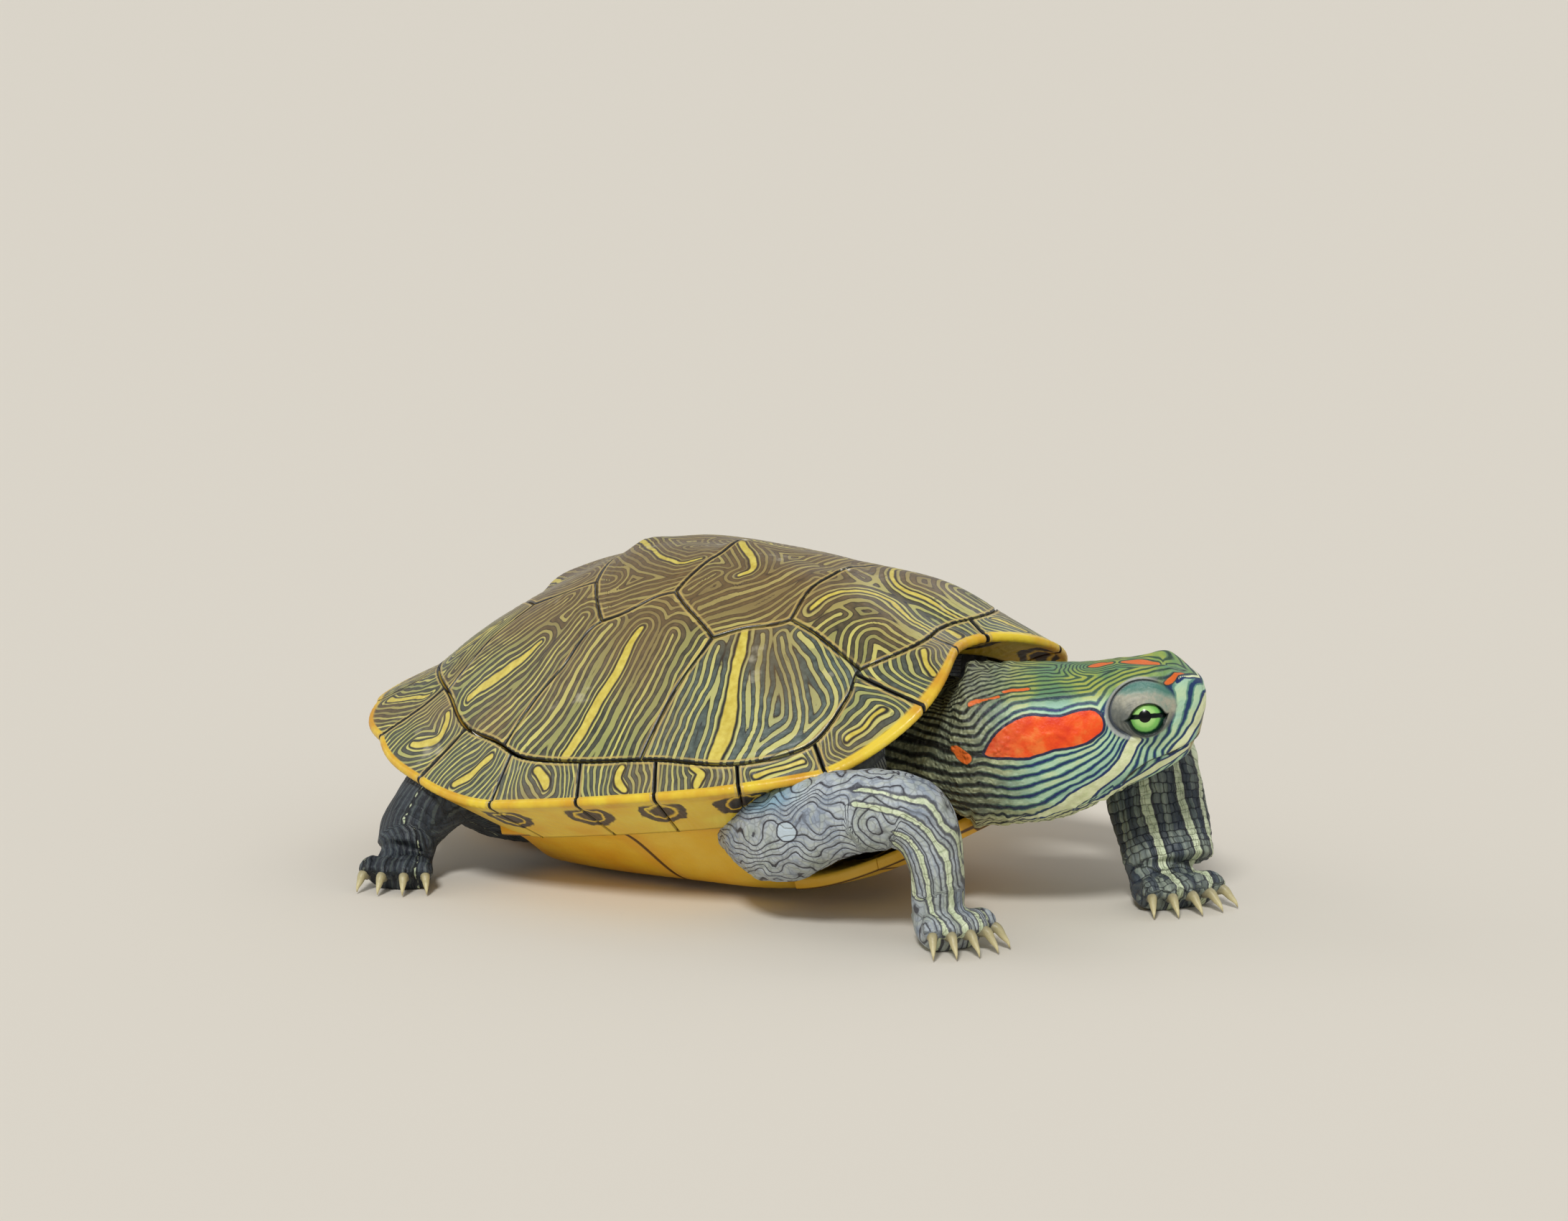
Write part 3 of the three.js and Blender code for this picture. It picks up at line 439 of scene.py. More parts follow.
def add_plate(name, surface, count, fields, relief, roll=0.26):
    """A closed slab: a grid over the plate's face, rolled down at its edge, then loops down its wall
    and in under it to one point. The surface is a function of two parameters and a depth."""
    steps = spread(0, 1, count, [(0, 0.04, 3), (1, 0.04, 3)])
    u, v = np.meshgrid(steps, steps)
    rise = steps[1:-1]
    loop_u = np.concatenate([steps, np.ones(count - 2), steps[::-1], np.zeros(count - 2)])
    loop_v = np.concatenate([np.zeros(count), rise, np.ones(count), rise[::-1]])
    grid = np.arange(count * count).reshape(count, count)
    loop = np.concatenate([grid[0], grid[1:-1, -1], grid[-1, ::-1], grid[1:-1, 0][::-1]])
    border = surface(loop_u, loop_v, 0 * loop_u)
    away = nearest(surface(u, v, 0 * u), border)
    depth = roll * np.clip(1 - away / (1.6 * roll), 0, 1) ** 2 - relief(u, v, away)
    points, us, vs = [surface(u, v, depth).reshape(-1, 3)], [u.ravel()], [v.ravel()]
    quads, previous = [grid_quads(grid)], loop
    shrinks, depths = (1, 1, 0.93, 0.75, 0.5, 0.25), (0.62 * PLATE, 0.92 * PLATE) + (PLATE,) * 4
    for shrink, down in zip(shrinks, depths):
        ring_u, ring_v = mix(0.5, loop_u, shrink), mix(0.5, loop_v, shrink)
        number = sum(len(p) for p in points) + np.arange(len(loop))
        points.append(surface(ring_u, ring_v, 0 * ring_u + down))
        us.append(ring_u)
        vs.append(ring_v)
        quads.append(grid_quads(np.stack([previous, number]), wrap=True)[:, ::-1])
        previous = number
    middle = np.array([0.5])
    points.append(surface(middle, middle, 0 * middle + PLATE))
    fan = np.stack([np.full(len(loop), sum(len(p) for p in points) - 1), previous, np.roll(previous, -1)], -1)
    us, vs = np.concatenate(us + [middle]), np.concatenate(vs + [middle])
    points = np.concatenate(points)
    marks = fields(us, vs)
    marks["border"] = nearest(points, border)
    return add_mesh(name, points, outward(points, np.vstack(quads), fan), marks)


# ---------------------------------------------------------------- marginals

# Bearings of the marginals' seams at the rim and at the plates of the back, and how many points of a
# section lie on top, round the edge, beneath, and on the way back up.
RIM_SEAMS = np.array([3.9, 16.5, 32.2, 46.4, 62.2, 79, 99, 116.9, 132.4, 146.3, 158.3, 169.7, 180]) * DEG
INNER_SEAMS = np.array([5.5, 21, 32, 46, 62, 80, 99, 114.5, 130.5, 145.5, 158.5, 170, 180]) * DEG
TOP_POINTS, ROLL_POINTS, LIP_POINTS, BACK_POINTS = 40, 12, 22, 6
EDGE_OUT, EDGE_UP = 0.65, 0.75                 # how far outward and upward the rim's edge rounds off


def bridge(bearing):
    """1 where the marginals wrap far down to meet the belly, between the legs."""
    return ease(0.64, 0.88, bearing) * (1 - ease(1.95, 2.2, bearing))


def lip_radius(bearing):
    """How far out the inner edge of the rim's underside lies."""
    return rim_radius(bearing) - LENGTH * mix(0.07, 0.075, bridge(bearing))


def rim_rings(inner, outer, side, share):
    """One closed cross section of the rim for each pair of bearings: over the top on the dome, round the
    edge, back under the lip, and up to where it started. Returns shell points and how far across
    the section each one lies: 0 to 1 on top, 1 to 2 beneath."""
    inner, outer, share = (v[:, None] for v in (inner, outer, share))
    out = rim_radius(outer) + ease(1.9, 2.5, outer) * np.sin(np.pi * share)
    reach = margin_share(inner) * rim_radius(inner) + SEAM
    edge = rim_height(outer)
    w = np.linspace(0, 1, TOP_POINTS)[None]
    bearing, radius = mix(inner, outer, w), mix(reach, out - EDGE_OUT, w)
    x, y = radius * np.cos(bearing), side * radius * np.sin(bearing)
    top = np.stack([x, y, dome_height(x, y) + 0.2 * w**2], -1)
    back = on_dome(x[:, :1], y[:, :1], PLATE + 0 * x[:, :1])
    back = np.stack([np.hypot(back[..., 0], back[..., 1]), back[..., 2]], -1)
    rolled = np.linspace(70, -65, ROLL_POINTS)[None] * DEG
    start = np.stack([radius[:, -1:], top[:, -1:, 2]], -1)
    arc = np.stack([EDGE_OUT * np.cos(rolled), EDGE_UP * np.sin(rolled) - 0.72], -1) + start
    lip = np.stack([lip_radius(outer), edge - LENGTH * mix(0.012, 0.055, bridge(outer)) - 1.2], -1)
    t = np.linspace(0, 1, LIP_POINTS + 1)[None, 1:, None]
    hollow = np.stack([0 * t, 0.5 * np.sin(np.pi * t)], -1)[..., 0, :] * (1 - bridge(outer))[..., None]
    under = mix(arc[:, -1:], lip, t) + hollow
    t = np.linspace(0, 1, BACK_POINTS + 1)[None, 1:, None]
    rear = mix(lip, back, t)
    section = np.concatenate([arc, under, rear], 1)
    place = np.concatenate([outer + 0 * arc[..., 0], outer + 0 * under[..., 0], mix(outer, inner, t[..., 0])], 1)
    rest = np.stack([section[..., 0] * np.cos(place), side * section[..., 0] * np.sin(place), section[..., 1]], -1)
    across = np.concatenate([w[0], 1 + 0 * rolled[0], np.linspace(1, 2, LIP_POINTS), np.full(BACK_POINTS, 2)])
    return np.concatenate([top, rest], 1), across + 0 * share


# The dark blotch beneath each seam of the rim: how far in from the edge, and its reach along and across.
BLOTCH_AT, BLOTCH_LONG, BLOTCH_DEEP = 3, 3.5, 3


def add_marginal(name, seams, side, seed, beads):
    """One plate of the rim, its ends rolled in. Its lines lie round its bar at equal distances, and a
    ringed dark ellipse sits beneath it on each of its seams."""
    trim = SEAM / (0.42 * LENGTH)
    steps = spread(0, 1, 60, [(0, 0.06, 3), (1, 0.06, 3)])
    (inner_a, inner_b), (outer_a, outer_b) = seams
    signed = [mix(a + trim, b - trim, steps) for a, b in ((inner_a, inner_b), (outer_a, outer_b))]
    turned = np.where(signed[0] < 0, -1, 1)[:, None] * side
    rings, across = rim_rings(np.abs(signed[0]), np.abs(signed[1]), turned, steps)
    away = nearest(rings, np.concatenate([rings[0], rings[-1], rings[:, 0]]))
    sink = 0.24 * np.clip(1 - away / 0.45, 0, 1) ** 2 - 0.03 * np.sin(away * TAU / 1.3) * np.exp(-away / 6)
    rings = rings - sink[..., None] * ring_normals(rings)
    share, bearing = steps[:, None] + 0 * across, np.abs(signed[1])[:, None] + 0 * across
    span = np.linalg.norm(rings[0, TOP_POINTS] - rings[-1, TOP_POINTS])
    tall = np.linalg.norm(rings[:, 0] - rings[:, TOP_POINTS], axis=-1).mean()
    flat = np.stack([share * span, across * tall], -1)
    flat = flat + 0.3 * np.stack([ripple(flat, 5, seed + k) for k in (0, 90)], -1)
    bar = band(flat, [(a * span, b * tall, half) for a, b, half in beads])
    loops = band(flat * [1, 0.62], [(a * span, b * 0.62 * tall, 0.5 * half) for a, b, half in beads])
    under = rings[:, TOP_POINTS + ROLL_POINTS] - rings[:, -BACK_POINTS - 1]
    deep = np.maximum(np.linalg.norm(under, axis=-1), 2)[:, None]
    beneath = np.stack([share * span, (across - 1) * deep], -1)
    beneath = beneath + 0.35 * np.stack([ripple(beneath, 3.5, seed + k) for k in (40, 41)], -1)
    blotch = np.minimum.reduce([np.hypot((beneath[..., 0] - end * span) / BLOTCH_LONG,
                                         (beneath[..., 1] - BLOTCH_AT) / BLOTCH_DEEP) - 1 for end in (0, 1)])
    start = 0.9 + 0.075 * ease(0.7, 0.95, bearing) - 0.05 * ease(2.3, 2.6, bearing)
    fields = {"phase": np.abs(loops) / 0.95 + 0.45, "bar": bar, "border": away, "across": across, "blotch": blotch,
              "warm": 0.35 + 0.3 * ripple(rings, 14, 3), "rim": ease(0, 0.05, across - start) + ease(0.99, 1, across),
              "cool": 0.55 * ease(2.6, 1.6, bearing) + 0 * across, "flake": 0 * across}
    return add_loft(name, from_shell(rings), fields, close=zipped)


# ---------------------------------------------------------------- plastron

# The belly from rear to front, in shell lengths: its height, the half width of its lobes, and its seams.
BELLY = [[-0.46, -0.165], [-0.3, -0.182], [-0.1, -0.205], [0.08, -0.225], [0.2, -0.238], [0.3, -0.235],
         [0.38, -0.218], [0.452, -0.192]]
LOBES = [[-0.46, 0.06], [-0.44, 0.115], [-0.38, 0.165], [-0.29, 0.195], [-0.175, 0.185],
         [0.255, 0.2], [0.33, 0.18], [0.4, 0.13], [0.435, 0.085], [0.452, 0.04]]
BELLY_SEAMS = np.array([-0.46, -0.33, -0.175, 0.06, 0.255, 0.37, 0.452])
BELLY_PLATES = ["anal", "femoral", "abdominal", "pectoral", "humeral", "gular"]


def belly_height(x):
    return LENGTH * profile(BELLY, x / LENGTH)


def lobe_half(x):
    return LENGTH * profile(LOBES, x / LENGTH)


def bridge_half(x):
    """Half width of the belly between the legs, out to the marginals' lower edge: the bearing at
    which that edge lies abreast of x is found on a fine table."""
    bearings = np.linspace(0.2, 2.9, 600)
    abreast = (lip_radius(bearings) - 0.35) * np.cos(bearings)
    found = np.interp(-x, -abreast, bearings)
    return (lip_radius(found) - 0.7) * np.sin(found)


def is_bridged(x):
    return (x > BELLY_SEAMS[2] * LENGTH) & (x < BELLY_SEAMS[4] * LENGTH)


def belly_surface(x, y, thickness, bridged):
    """The belly turns up a little at the edge of a lobe, and over the bridge as far as the rim's lip."""
    over_bridge = (-0.106 * LENGTH - 0.9 - belly_height(x)) * ease(0.6, 1.02, np.abs(y) / bridge_half(x))
    over_lobe = 0.9 * ease(0.7, 1, np.abs(y) / lobe_half(x))
    upturn = np.where(bridged, over_bridge, over_lobe)
    return np.stack([x, y, belly_height(x) + upturn + thickness], -1)


def belly_plan(index):
    """Plan points of one pair of belly plates; the middle pairs' outer ends follow the bridge."""
    rear, front = BELLY_SEAMS[index] * LENGTH + SEAM, BELLY_SEAMS[index + 1] * LENGTH - SEAM
    bridged = bool(is_bridged((rear + front) / 2))

    def plan(u, v):
        share = mix(-1, 1, u)
        hollow = 0.045 * LENGTH * ease(0.6, 1, np.abs(share)) if bridged else 0 * share
        start = rear + hollow * (index == 2)
        end = front - hollow * (index == 3)
        x = mix(start, end, v)
        return x, share * (bridge_half(x) + 1.1 if bridged else lobe_half(x))
    return plan, bridged


# ---------------------------------------------------------------- markings of the shell

# Every run of beads is drawn for the animal's right half, in shell lengths: place forward, place to the
# left, half width. Before it stands the pitch, in millimetres, of the lines that lie round it like
# contours. A plate's first run is its bold yellow bar.
COSTAL_LINES = [
    [(1.35, [(0.219, -0.16, 0.003), (0.233, -0.205, 0.0055), (0.248, -0.246, 0.0065), (0.261, -0.278, 0.007),
             (0.259, -0.312, 0.006)]),
     (1.15, [(0.239, -0.155, 0.001), (0.262, -0.195, 0.001), (0.284, -0.228, 0.001), (0.294, -0.265, 0.001),
             (0.282, -0.318, 0.001)]),
     (1.15, [(0.268, -0.148, 0.001), (0.30, -0.178, 0.001), (0.330, -0.205, 0.001), (0.341, -0.235, 0.001),
             (0.318, -0.285, 0.001)]),
     (1.15, [(0.292, -0.134, 0.001), (0.335, -0.157, 0.001), (0.372, -0.178, 0.001), (0.378, -0.20, 0.001),
             (0.352, -0.25, 0.001)]),
     (1.2, [(0.200, -0.20, 0), (0.208, -0.25, 0), (0.206, -0.30, 0), (0.206, -0.34, 0)])],
    [(1.2, [(0.071, -0.215, 0.002), (0.069, -0.245, 0.005), (0.064, -0.29, 0.006),
            (0.057, -0.33, 0.006), (0.036, -0.368, 0.005)]),
     (1.15, [(0.126, -0.205, 0), (0.128, -0.255, 0), (0.120, -0.308, 0), (0.106, -0.37, 0)]),
     (1.15, [(0.020, -0.215, 0.001), (0.008, -0.26, 0.001), (-0.004, -0.322, 0.001), (-0.04, -0.375, 0.001)]),
     (1.2, [(0.172, -0.20, 0.001), (0.173, -0.247, 0.001), (0.168, -0.30, 0.001), (0.155, -0.36, 0.001)])],
    [(1.2, [(-0.095, -0.245, 0.001), (-0.114, -0.271, 0.004), (-0.142, -0.293, 0.005), (-0.182, -0.321, 0.004)]),
     (1.15, [(-0.040, -0.21, 0), (-0.056, -0.269, 0), (-0.09, -0.329, 0), (-0.132, -0.36, 0)]),
     (1.15, [(-0.10, -0.175, 0), (-0.161, -0.239, 0), (-0.225, -0.285, 0)])],
    [(1.2, [(-0.235, -0.19, 0.001), (-0.26, -0.21, 0.002), (-0.295, -0.225, 0.002)]),
     (1.15, [(-0.21, -0.15, 0), (-0.25, -0.235, 0), (-0.26, -0.275, 0)]),
     (1.15, [(-0.28, -0.12, 0), (-0.33, -0.17, 0)])],
]
VERTEBRAL_LINES = [
    [(1.5, [(0.288, -0.10, 0.002), (0.311, -0.045, 0.002), (0.345, -0.02, 0.002), (0.397, -0.03, 0.002),
            (0.447, -0.035, 0.001)]),
     (1.4, [(0.371, -0.14, 0), (0.364, -0.103, 0), (0.385, -0.075, 0), (0.435, -0.075, 0)]),
     (1.3, [(0.30, -0.14, 0), (0.33, -0.09, 0)]), (1.4, [(0.28, 0, 0), (0.30, 0, 0)])],
    [(1.2, [(0.100, -0.014, 0.004), (0.13, -0.034, 0.004), (0.158, -0.066, 0.003), (0.150, -0.09, 0.002)]),
     (1.2, [(0.135, -0.16, 0.001), (0.188, -0.104, 0.001), (0.22, -0.052, 0.001), (0.226, -0.01, 0.001)]),
     (1.2, [(0.176, -0.185, 0), (0.24, -0.119, 0), (0.262, -0.051, 0)]),
     (1.2, [(0.10, -0.14, 0), (0.115, -0.10, 0)])],
    [(1.2, [(-0.105, -0.008, 0.003), (-0.06, -0.045, 0.002), (-0.012, -0.075, 0.002), (0.04, -0.09, 0.002),
            (0.07, -0.07, 0.001)]),
     (1.15, [(-0.03, -0.20, 0), (0.037, -0.17, 0), (0.085, -0.139, 0)]),
     (1.15, [(0.03, -0.03, 0), (0.06, -0.015, 0)]), (1.15, [(-0.10, -0.13, 0), (-0.05, -0.14, 0)])],
    [(1.2, [(-0.30, -0.010, 0.003), (-0.255, -0.04, 0.002), (-0.20, -0.065, 0.002)]),
     (1.15, [(-0.26, -0.10, 0), (-0.19, -0.13, 0), (-0.12, -0.12, 0)]),
     (1.15, [(-0.19, -0.01, 0), (-0.13, -0.02, 0)])],
    [(1.2, [(-0.41, -0.02, 0.002), (-0.37, -0.03, 0.002), (-0.33, -0.03, 0.002)]),
     (1.15, [(-0.40, -0.09, 0), (-0.35, -0.07, 0)])],
]
COSTAL_COOL = (1.0, 0.4, 0.2, 0.1)             # how blue the ground of each costal plate is
# The bar of each plate of the rim: share of the way from its front seam, share of the way from the
# back's plates to the rim, half width in millimetres.
RIM_BARS = [
    [(0.3, 0.25, 0.2), (0.6, 0.8, 0.3)],
    [(0.2, 0.62, 0.15), (0.65, 0.55, 0.25)],
    [(0.2, 0.4, 0.2), (0.78, 0.7, 0.25)],
    [(0.52, 0.15, 0.3), (0.42, 0.45, 0.5), (0.5, 0.8, 0.4)],
    [(0.42, 0.25, 0.4), (0.46, 0.55, 0.5), (0.38, 0.82, 0.4)],
    [(0.56, 0.28, 0.5), (0.42, 0.48, 0.75), (0.38, 0.64, 0.5)],
    [(0.3, 0.22, 0.4), (0.42, 0.58, 0.5), (0.56, 0.86, 0.45)],
    [(0.48, 0.12, 0.35), (0.25, 0.3, 0.5), (0.28, 0.52, 0.55), (0.5, 0.7, 0.4)],
    [(0.15, 0.2, 0.3), (0.8, 0.76, 0.5)],
    [(0.3, 0.2, 0.25), (0.6, 0.85, 0.35)],
    [(0.4, 0.2, 0.25), (0.6, 0.85, 0.3)],
    [(0.5, 0.2, 0.25), (0.6, 0.85, 0.3)],
    [(0.5, 0.2, 0.2), (0.5, 0.8, 0.3)],
]


def shell_fields(plan, lines, seed, warmth, cool):
    """Fields for the painter over a plate of the back: how many lines lie between each point and the runs, the
    distance to the bold bar, how warm and how cool the ground is, its warmth falling off towards the rim as painted
    shade, and where the painted highlight on the keel's knobs lies."""
    def fields(u, v):
        x, y = plan(u, v)
        both = np.stack([x, y], -1)
        drift = np.stack([0.36 * ripple(both, 9, seed + k) + 0.07 * ripple(both, 2.6, seed + k + 7)
                          for k in (0, 50)], -1)
        flat = (np.stack([x, -np.abs(y)], -1) + drift) / LENGTH
        reach = [LENGTH * band(flat, run) for _, run in lines]
        counted = [np.maximum(away, 0) / pitch + 0.5 * (k > 0)
                   for k, (away, (pitch, _)) in enumerate(zip(reach, lines))]
        low = np.hypot(x, y) / rim_radius(np.arctan2(y, x))
        # Where the keel's knobs stand, for the painted highlight on their tips.
        ahead_of = [x - place * LENGTH for place in KNOBS]
        knob = sum(bell(away, np.where(away > 0, 2.6, 1.4)) for away in ahead_of) * bell(y, 1.7)
        # The ground is less warm towards the rim: painted shade on the lower part of each plate.
        return {"phase": soft_least(counted, 0.2) + 0.5, "bar": reach[0], "across": 0 * x, "blotch": 0 * x + 9,
                "warm": warmth - 0.6 * ease(0.45, 0.9, low) + 0.25 * ripple(both, 16, seed + 3), "rim": 0 * x,
                "cool": cool * ease(0.35, 0.8, low) * ease(-0.25, 0.25, x / LENGTH - 0.05), "flake": knob}
    return fields


def back_relief(u, v, away):
    """Faint growth rings follow the plate's edge, and its face is a little uneven."""
    rings = 0.035 * np.sin(away * TAU / 1.25) * np.exp(-away / 7)
    return rings * ease(0.3, 1.2, away) + 0.05 * np.sin(9 * u + 5) * np.sin(8 * v + 1)


# ---------------------------------------------------------------- head and neck

# The head in its own frame, by place forward: half width, top, base, and the height of its widest line.
HEAD_WIDTH = [[-3, 11.2], [4, 10.8], [12, 9.9], [18, 8.6], [23, 7.3], [27.5, 5.5], [31, 3.7], [33, 2.4]]
HEAD_TOP = [[-3, 7.5], [6, 7.3], [14, 7.1], [20, 7.65], [24, 7.3], [28, 6.5], [31, 5.3], [33, 4.2]]
HEAD_BASE = [[-3, -17], [6, -17], [12, -15.6], [18, -12.7], [24, -10.2], [29, -8.4], [31.5, -7.2], [33, -5.6]]
HEAD_MIDDLE = [[-3, -3], [10, -2.6], [20, -1], [27, 0.4], [33, 0.8]]
BROW_AT, BROW_HEIGHT, BROW_HALF = np.array([26.9, 3.9]), 2.1, 2.0
SNOUT_START = 30.4                             # from here on the snout rounds off
MOUTH = [(34, -3.7, 0), (31.5, -4.6, 0), (29.5, -5.1, 0), (26, -6.0, 0), (23, -6.9, 0), (20.5, -8.6, 0),
         (19.4, -10.4, 0)]
BACK_OF_NECK, NECK_STATIONS = -20.0, (-20, -9, -4, 0, 4)
# The ball under the lids, the lids' disc and the gap between them, from the middle of the eye's solid.
LID_RADIUS, LID_DISC, LID_AT = 4.06, np.array([5.0, 4.1]), np.array([1.15, 1.25])
OPENING_AT = np.array([1.78, 0.22])


def head_ring(x, angle):
    """Points of the head: superellipses along its length, wider where the lids bulge, raised at the
    brows, drawn back below the nose and rounded off at the snout."""
    half, top, base, middle = (profile(table, x) for table in (HEAD_WIDTH, HEAD_TOP, HEAD_BASE, HEAD_MIDDLE))
    c, s = signed_power(np.cos(angle), 0.86), signed_power(np.sin(angle), 0.82)
    passed = np.clip((x - SNOUT_START) / (HEAD_LENGTH + 0.01 - SNOUT_START), 0, 1)
    closing = np.clip(1 - passed ** 2.6, 0, 1) ** (1 / 2.4)
    z = middle + s * np.where(s > 0, top - middle, middle - base)
    lid = 1.1 * bell(x - EYE[0], 4.2) * bell(z - EYE[2] - 0.8, 4)
    ahead_of = x - BROW_AT[0]
    brow = np.where(s > 0, BROW_HEIGHT * bell(ahead_of, np.where(ahead_of > 0, 3.0, 3.6))
                    * bell(np.abs(c * half) - BROW_AT[1], BROW_HALF), 0)
    y, z = (c * half + np.sign(c) * lid * np.abs(c) ** 0.5) * closing, mix(-0.4, z + brow, closing)
    recede = 0.24 * 0.7 * np.logaddexp(0, (2 - z) / 0.7) * ease(24, 33, x)
    return np.stack([x - recede, y, z], -1)


def neck_section(place, half, tall, turned, angle):
    """A section of the neck inside the shell's front opening."""
    at = from_shell([place * LENGTH, 0, -0.078 * LENGTH])
    across, rise = half * signed_power(np.cos(angle), 0.9), tall * signed_power(np.sin(angle), 0.9)
    return at + np.stack([-across * np.sin(turned), across * np.cos(turned), rise], -1)


def to_head(points):
    """Places in the head's own frame, from places in the model."""
    return (points - HEAD_AT) @ HEAD_TURN.T


def eye_opening(dx, dz):
    """Signed distance to the gap between the lids, negative inside: an ellipse with a narrow almond
    through it for the corners."""
    dx, dz = dx - OPENING_AT[0], dz - OPENING_AT[1]
    half, over, under = 3.05, 0.7, 0.62
    high, low = (half**2 + over**2) / (2 * over), (half**2 + under**2) / (2 * under)
    almond = np.maximum(np.hypot(dx, dz - over + high) - high, np.hypot(dx, dz + under - low) - low)
    return soft_least([(np.hypot(dx / 2.5, (dz + 0.12) / 2.3) - 1) * 2.3, almond], 0.18)


def across_lids(dx, dz):
    """How far places lie from the middle of the lids, as a share of their disc."""
    return np.hypot((dx - LID_AT[0]) / LID_DISC[0], (dz - LID_AT[1]) / LID_DISC[1])


def crease_share(dx, dz):
    """1 behind and below the eye, where a deep crease rings the lids, and 0 before and above it."""
    bearing = np.arctan2(dz - LID_AT[1], dx - LID_AT[0])
    return ease(1.2, 1.9, np.abs(np.angle(np.exp(1j * (bearing + 0.5)))))


def shape_lids(local):
    """Draws the head's side over a ball about each eye, opens the gap between the lids, and sinks a
    crease round them."""
    dx, dz = local[..., 0] - EYE[0], local[..., 2] - EYE[2]
    side, y = np.sign(local[..., 1]), np.abs(local[..., 1])
    near = (y > 2) & (np.hypot(dx, dz) < 9)
    disc, opening = across_lids(dx, dz), eye_opening(dx, dz)
    square = (local[..., 0] - EYEBALL[0]) ** 2 + (local[..., 2] - EYEBALL[2]) ** 2
    ball = EYEBALL[1] + np.sqrt(np.maximum(LID_RADIUS**2 - square, 0.0))
    blend = 0.35
    lids = blend * np.logaddexp((y - 0.9 * bell(disc - 0.93, 0.3)) / blend, (ball - 0.1) / blend)
    folds = (0.08 * np.sin(np.hypot(dx - 1, dz * 1.25) * TAU / 0.7)
             * ease(0.97, 0.75, disc) * ease(0.2, 0.7, opening))
    crease = (0.32 * bell(disc - 1.0, 0.05) - 0.14 * bell(disc - 1.1, 0.07)) * mix(0.08, 1, crease_share(dx, dz))
    lip = 0.16 * bell(opening - 0.26, 0.2)
    inside = EYEBALL[1] + np.sqrt(np.maximum(3.2**2 - square, 0.01))
    shaped = mix(y, lids, ease(1.12, 0.98, disc)) + folds + lip - crease
    local = local.copy()
    local[..., 1] = np.where(near, side * mix(inside, shaped, ease(-0.3, 0.12, opening)), local[..., 1])
    return local


# The head's markings are drawn for its right side, as place forward, place up and half width.
RED_PATCH = [(-0.6, -2.1, 0.1), (0.8, -1.75, 1.05), (2.8, -0.95, 2.0), (5, -0.4, 2.75), (8, -0.05, 2.7),
             (11.5, 0.2, 2.4), (14.5, 0.75, 2.15), (15.8, 1.0, 1.75)]
ABOVE_LINE = [(-24, -2), (-0.6, -2.1), (0.8, -1.7), (3, -0.6), (9, 0), (14.5, 0.75), (16.8, 1.6), (18.2, 3.8),
              (20.5, 5.6), (23.5, 6.3), (26.5, 6.3), (29, 6.7), (31, 7.5), (33, 7.8)]
CHEEK_STRIPE = [(22.0, -2.2, 0.8), (20.6, -4.4, 0.85), (18.4, -7, 0.75), (16.2, -8.8, 0.75), (14, -10.4, 1.0),
                (12, -11.9, 1.2), (10, -13.1, 1.05), (8, -14.0, 0.6), (5, -15.1, 0.3), (-2, -16.4, 0.25),
                (-14, -17, 0.2)]
SNOUT_STRIPE = [(32.6, 3.0, 0.2), (32.3, 1.0, 0.42), (31.2, -1.2, 0.5), (29.6, -3.0, 0.5), (28.0, -4.6, 0.42),
                (27.0, -5.6, 0.25)]
NOSE_LINE = [(28.6, 6.0, 0.02), (29.8, 6.5, 0.14), (31.0, 6.9, 0.22), (32.2, 7.0, 0.15)]
JAW_STRIPE = [(30, -6.1, 0.35), (27.5, -7.2, 0.6), (25, -8.3, 0.7), (22, -10.1, 0.7), (19.5, -12, 0.6),
              (16.5, -13.8, 0.4), (12, -15.4, 0.25)]
ORANGE = [[(15.2, 13.3, 0.2), (16.4, 13.2, 0.8), (18.2, 13.1, 0.5)],
          [(20.2, 12.9, 0.3), (22.5, 12.2, 0.65), (25.4, 11.1, 0.2)],
          [(27.0, 6.0, 0.22), (27.8, 6.3, 0.32), (29.2, 7.2, 0.12)],
          [(-2.5, 4.9, 0.15), (1.5, 5.7, 0.25)], [(2.4, 7.0, 0.3), (6, 7.5, 0.3)],
          [(-4.7, -1.7, 0.65), (-3.8, -2.9, 1.05)]]
CROWN_LOOPS = ORANGE[:2] + [[(27, 10.5, 0), (31, 8.3, 0)]]   # the crown's lines lie round these
# Up the front of the beak: height, and how far forward its tan horn begins.
BEAK_EDGE = [(-8, 29.4), (-6.4, 29.4), (-4.8, 30.2), (-2.6, 31.2), (-0.2, 32.3), (2.2, 32.7), (4.2, 33.4), (5, 35)]


def cheek_back(z):
    """How far forward the cheek stripe lies at a height."""
    beads = np.array(CHEEK_STRIPE)[::-1]
    return np.interp(z, beads[:, 1], beads[:, 0], right=22.6)


def mouth_height(x):
    """How high the mouth's line lies at a place forward."""
    beads = np.array(MOUTH)[::-1]
    return np.interp(x, beads[:, 0], beads[:, 1])


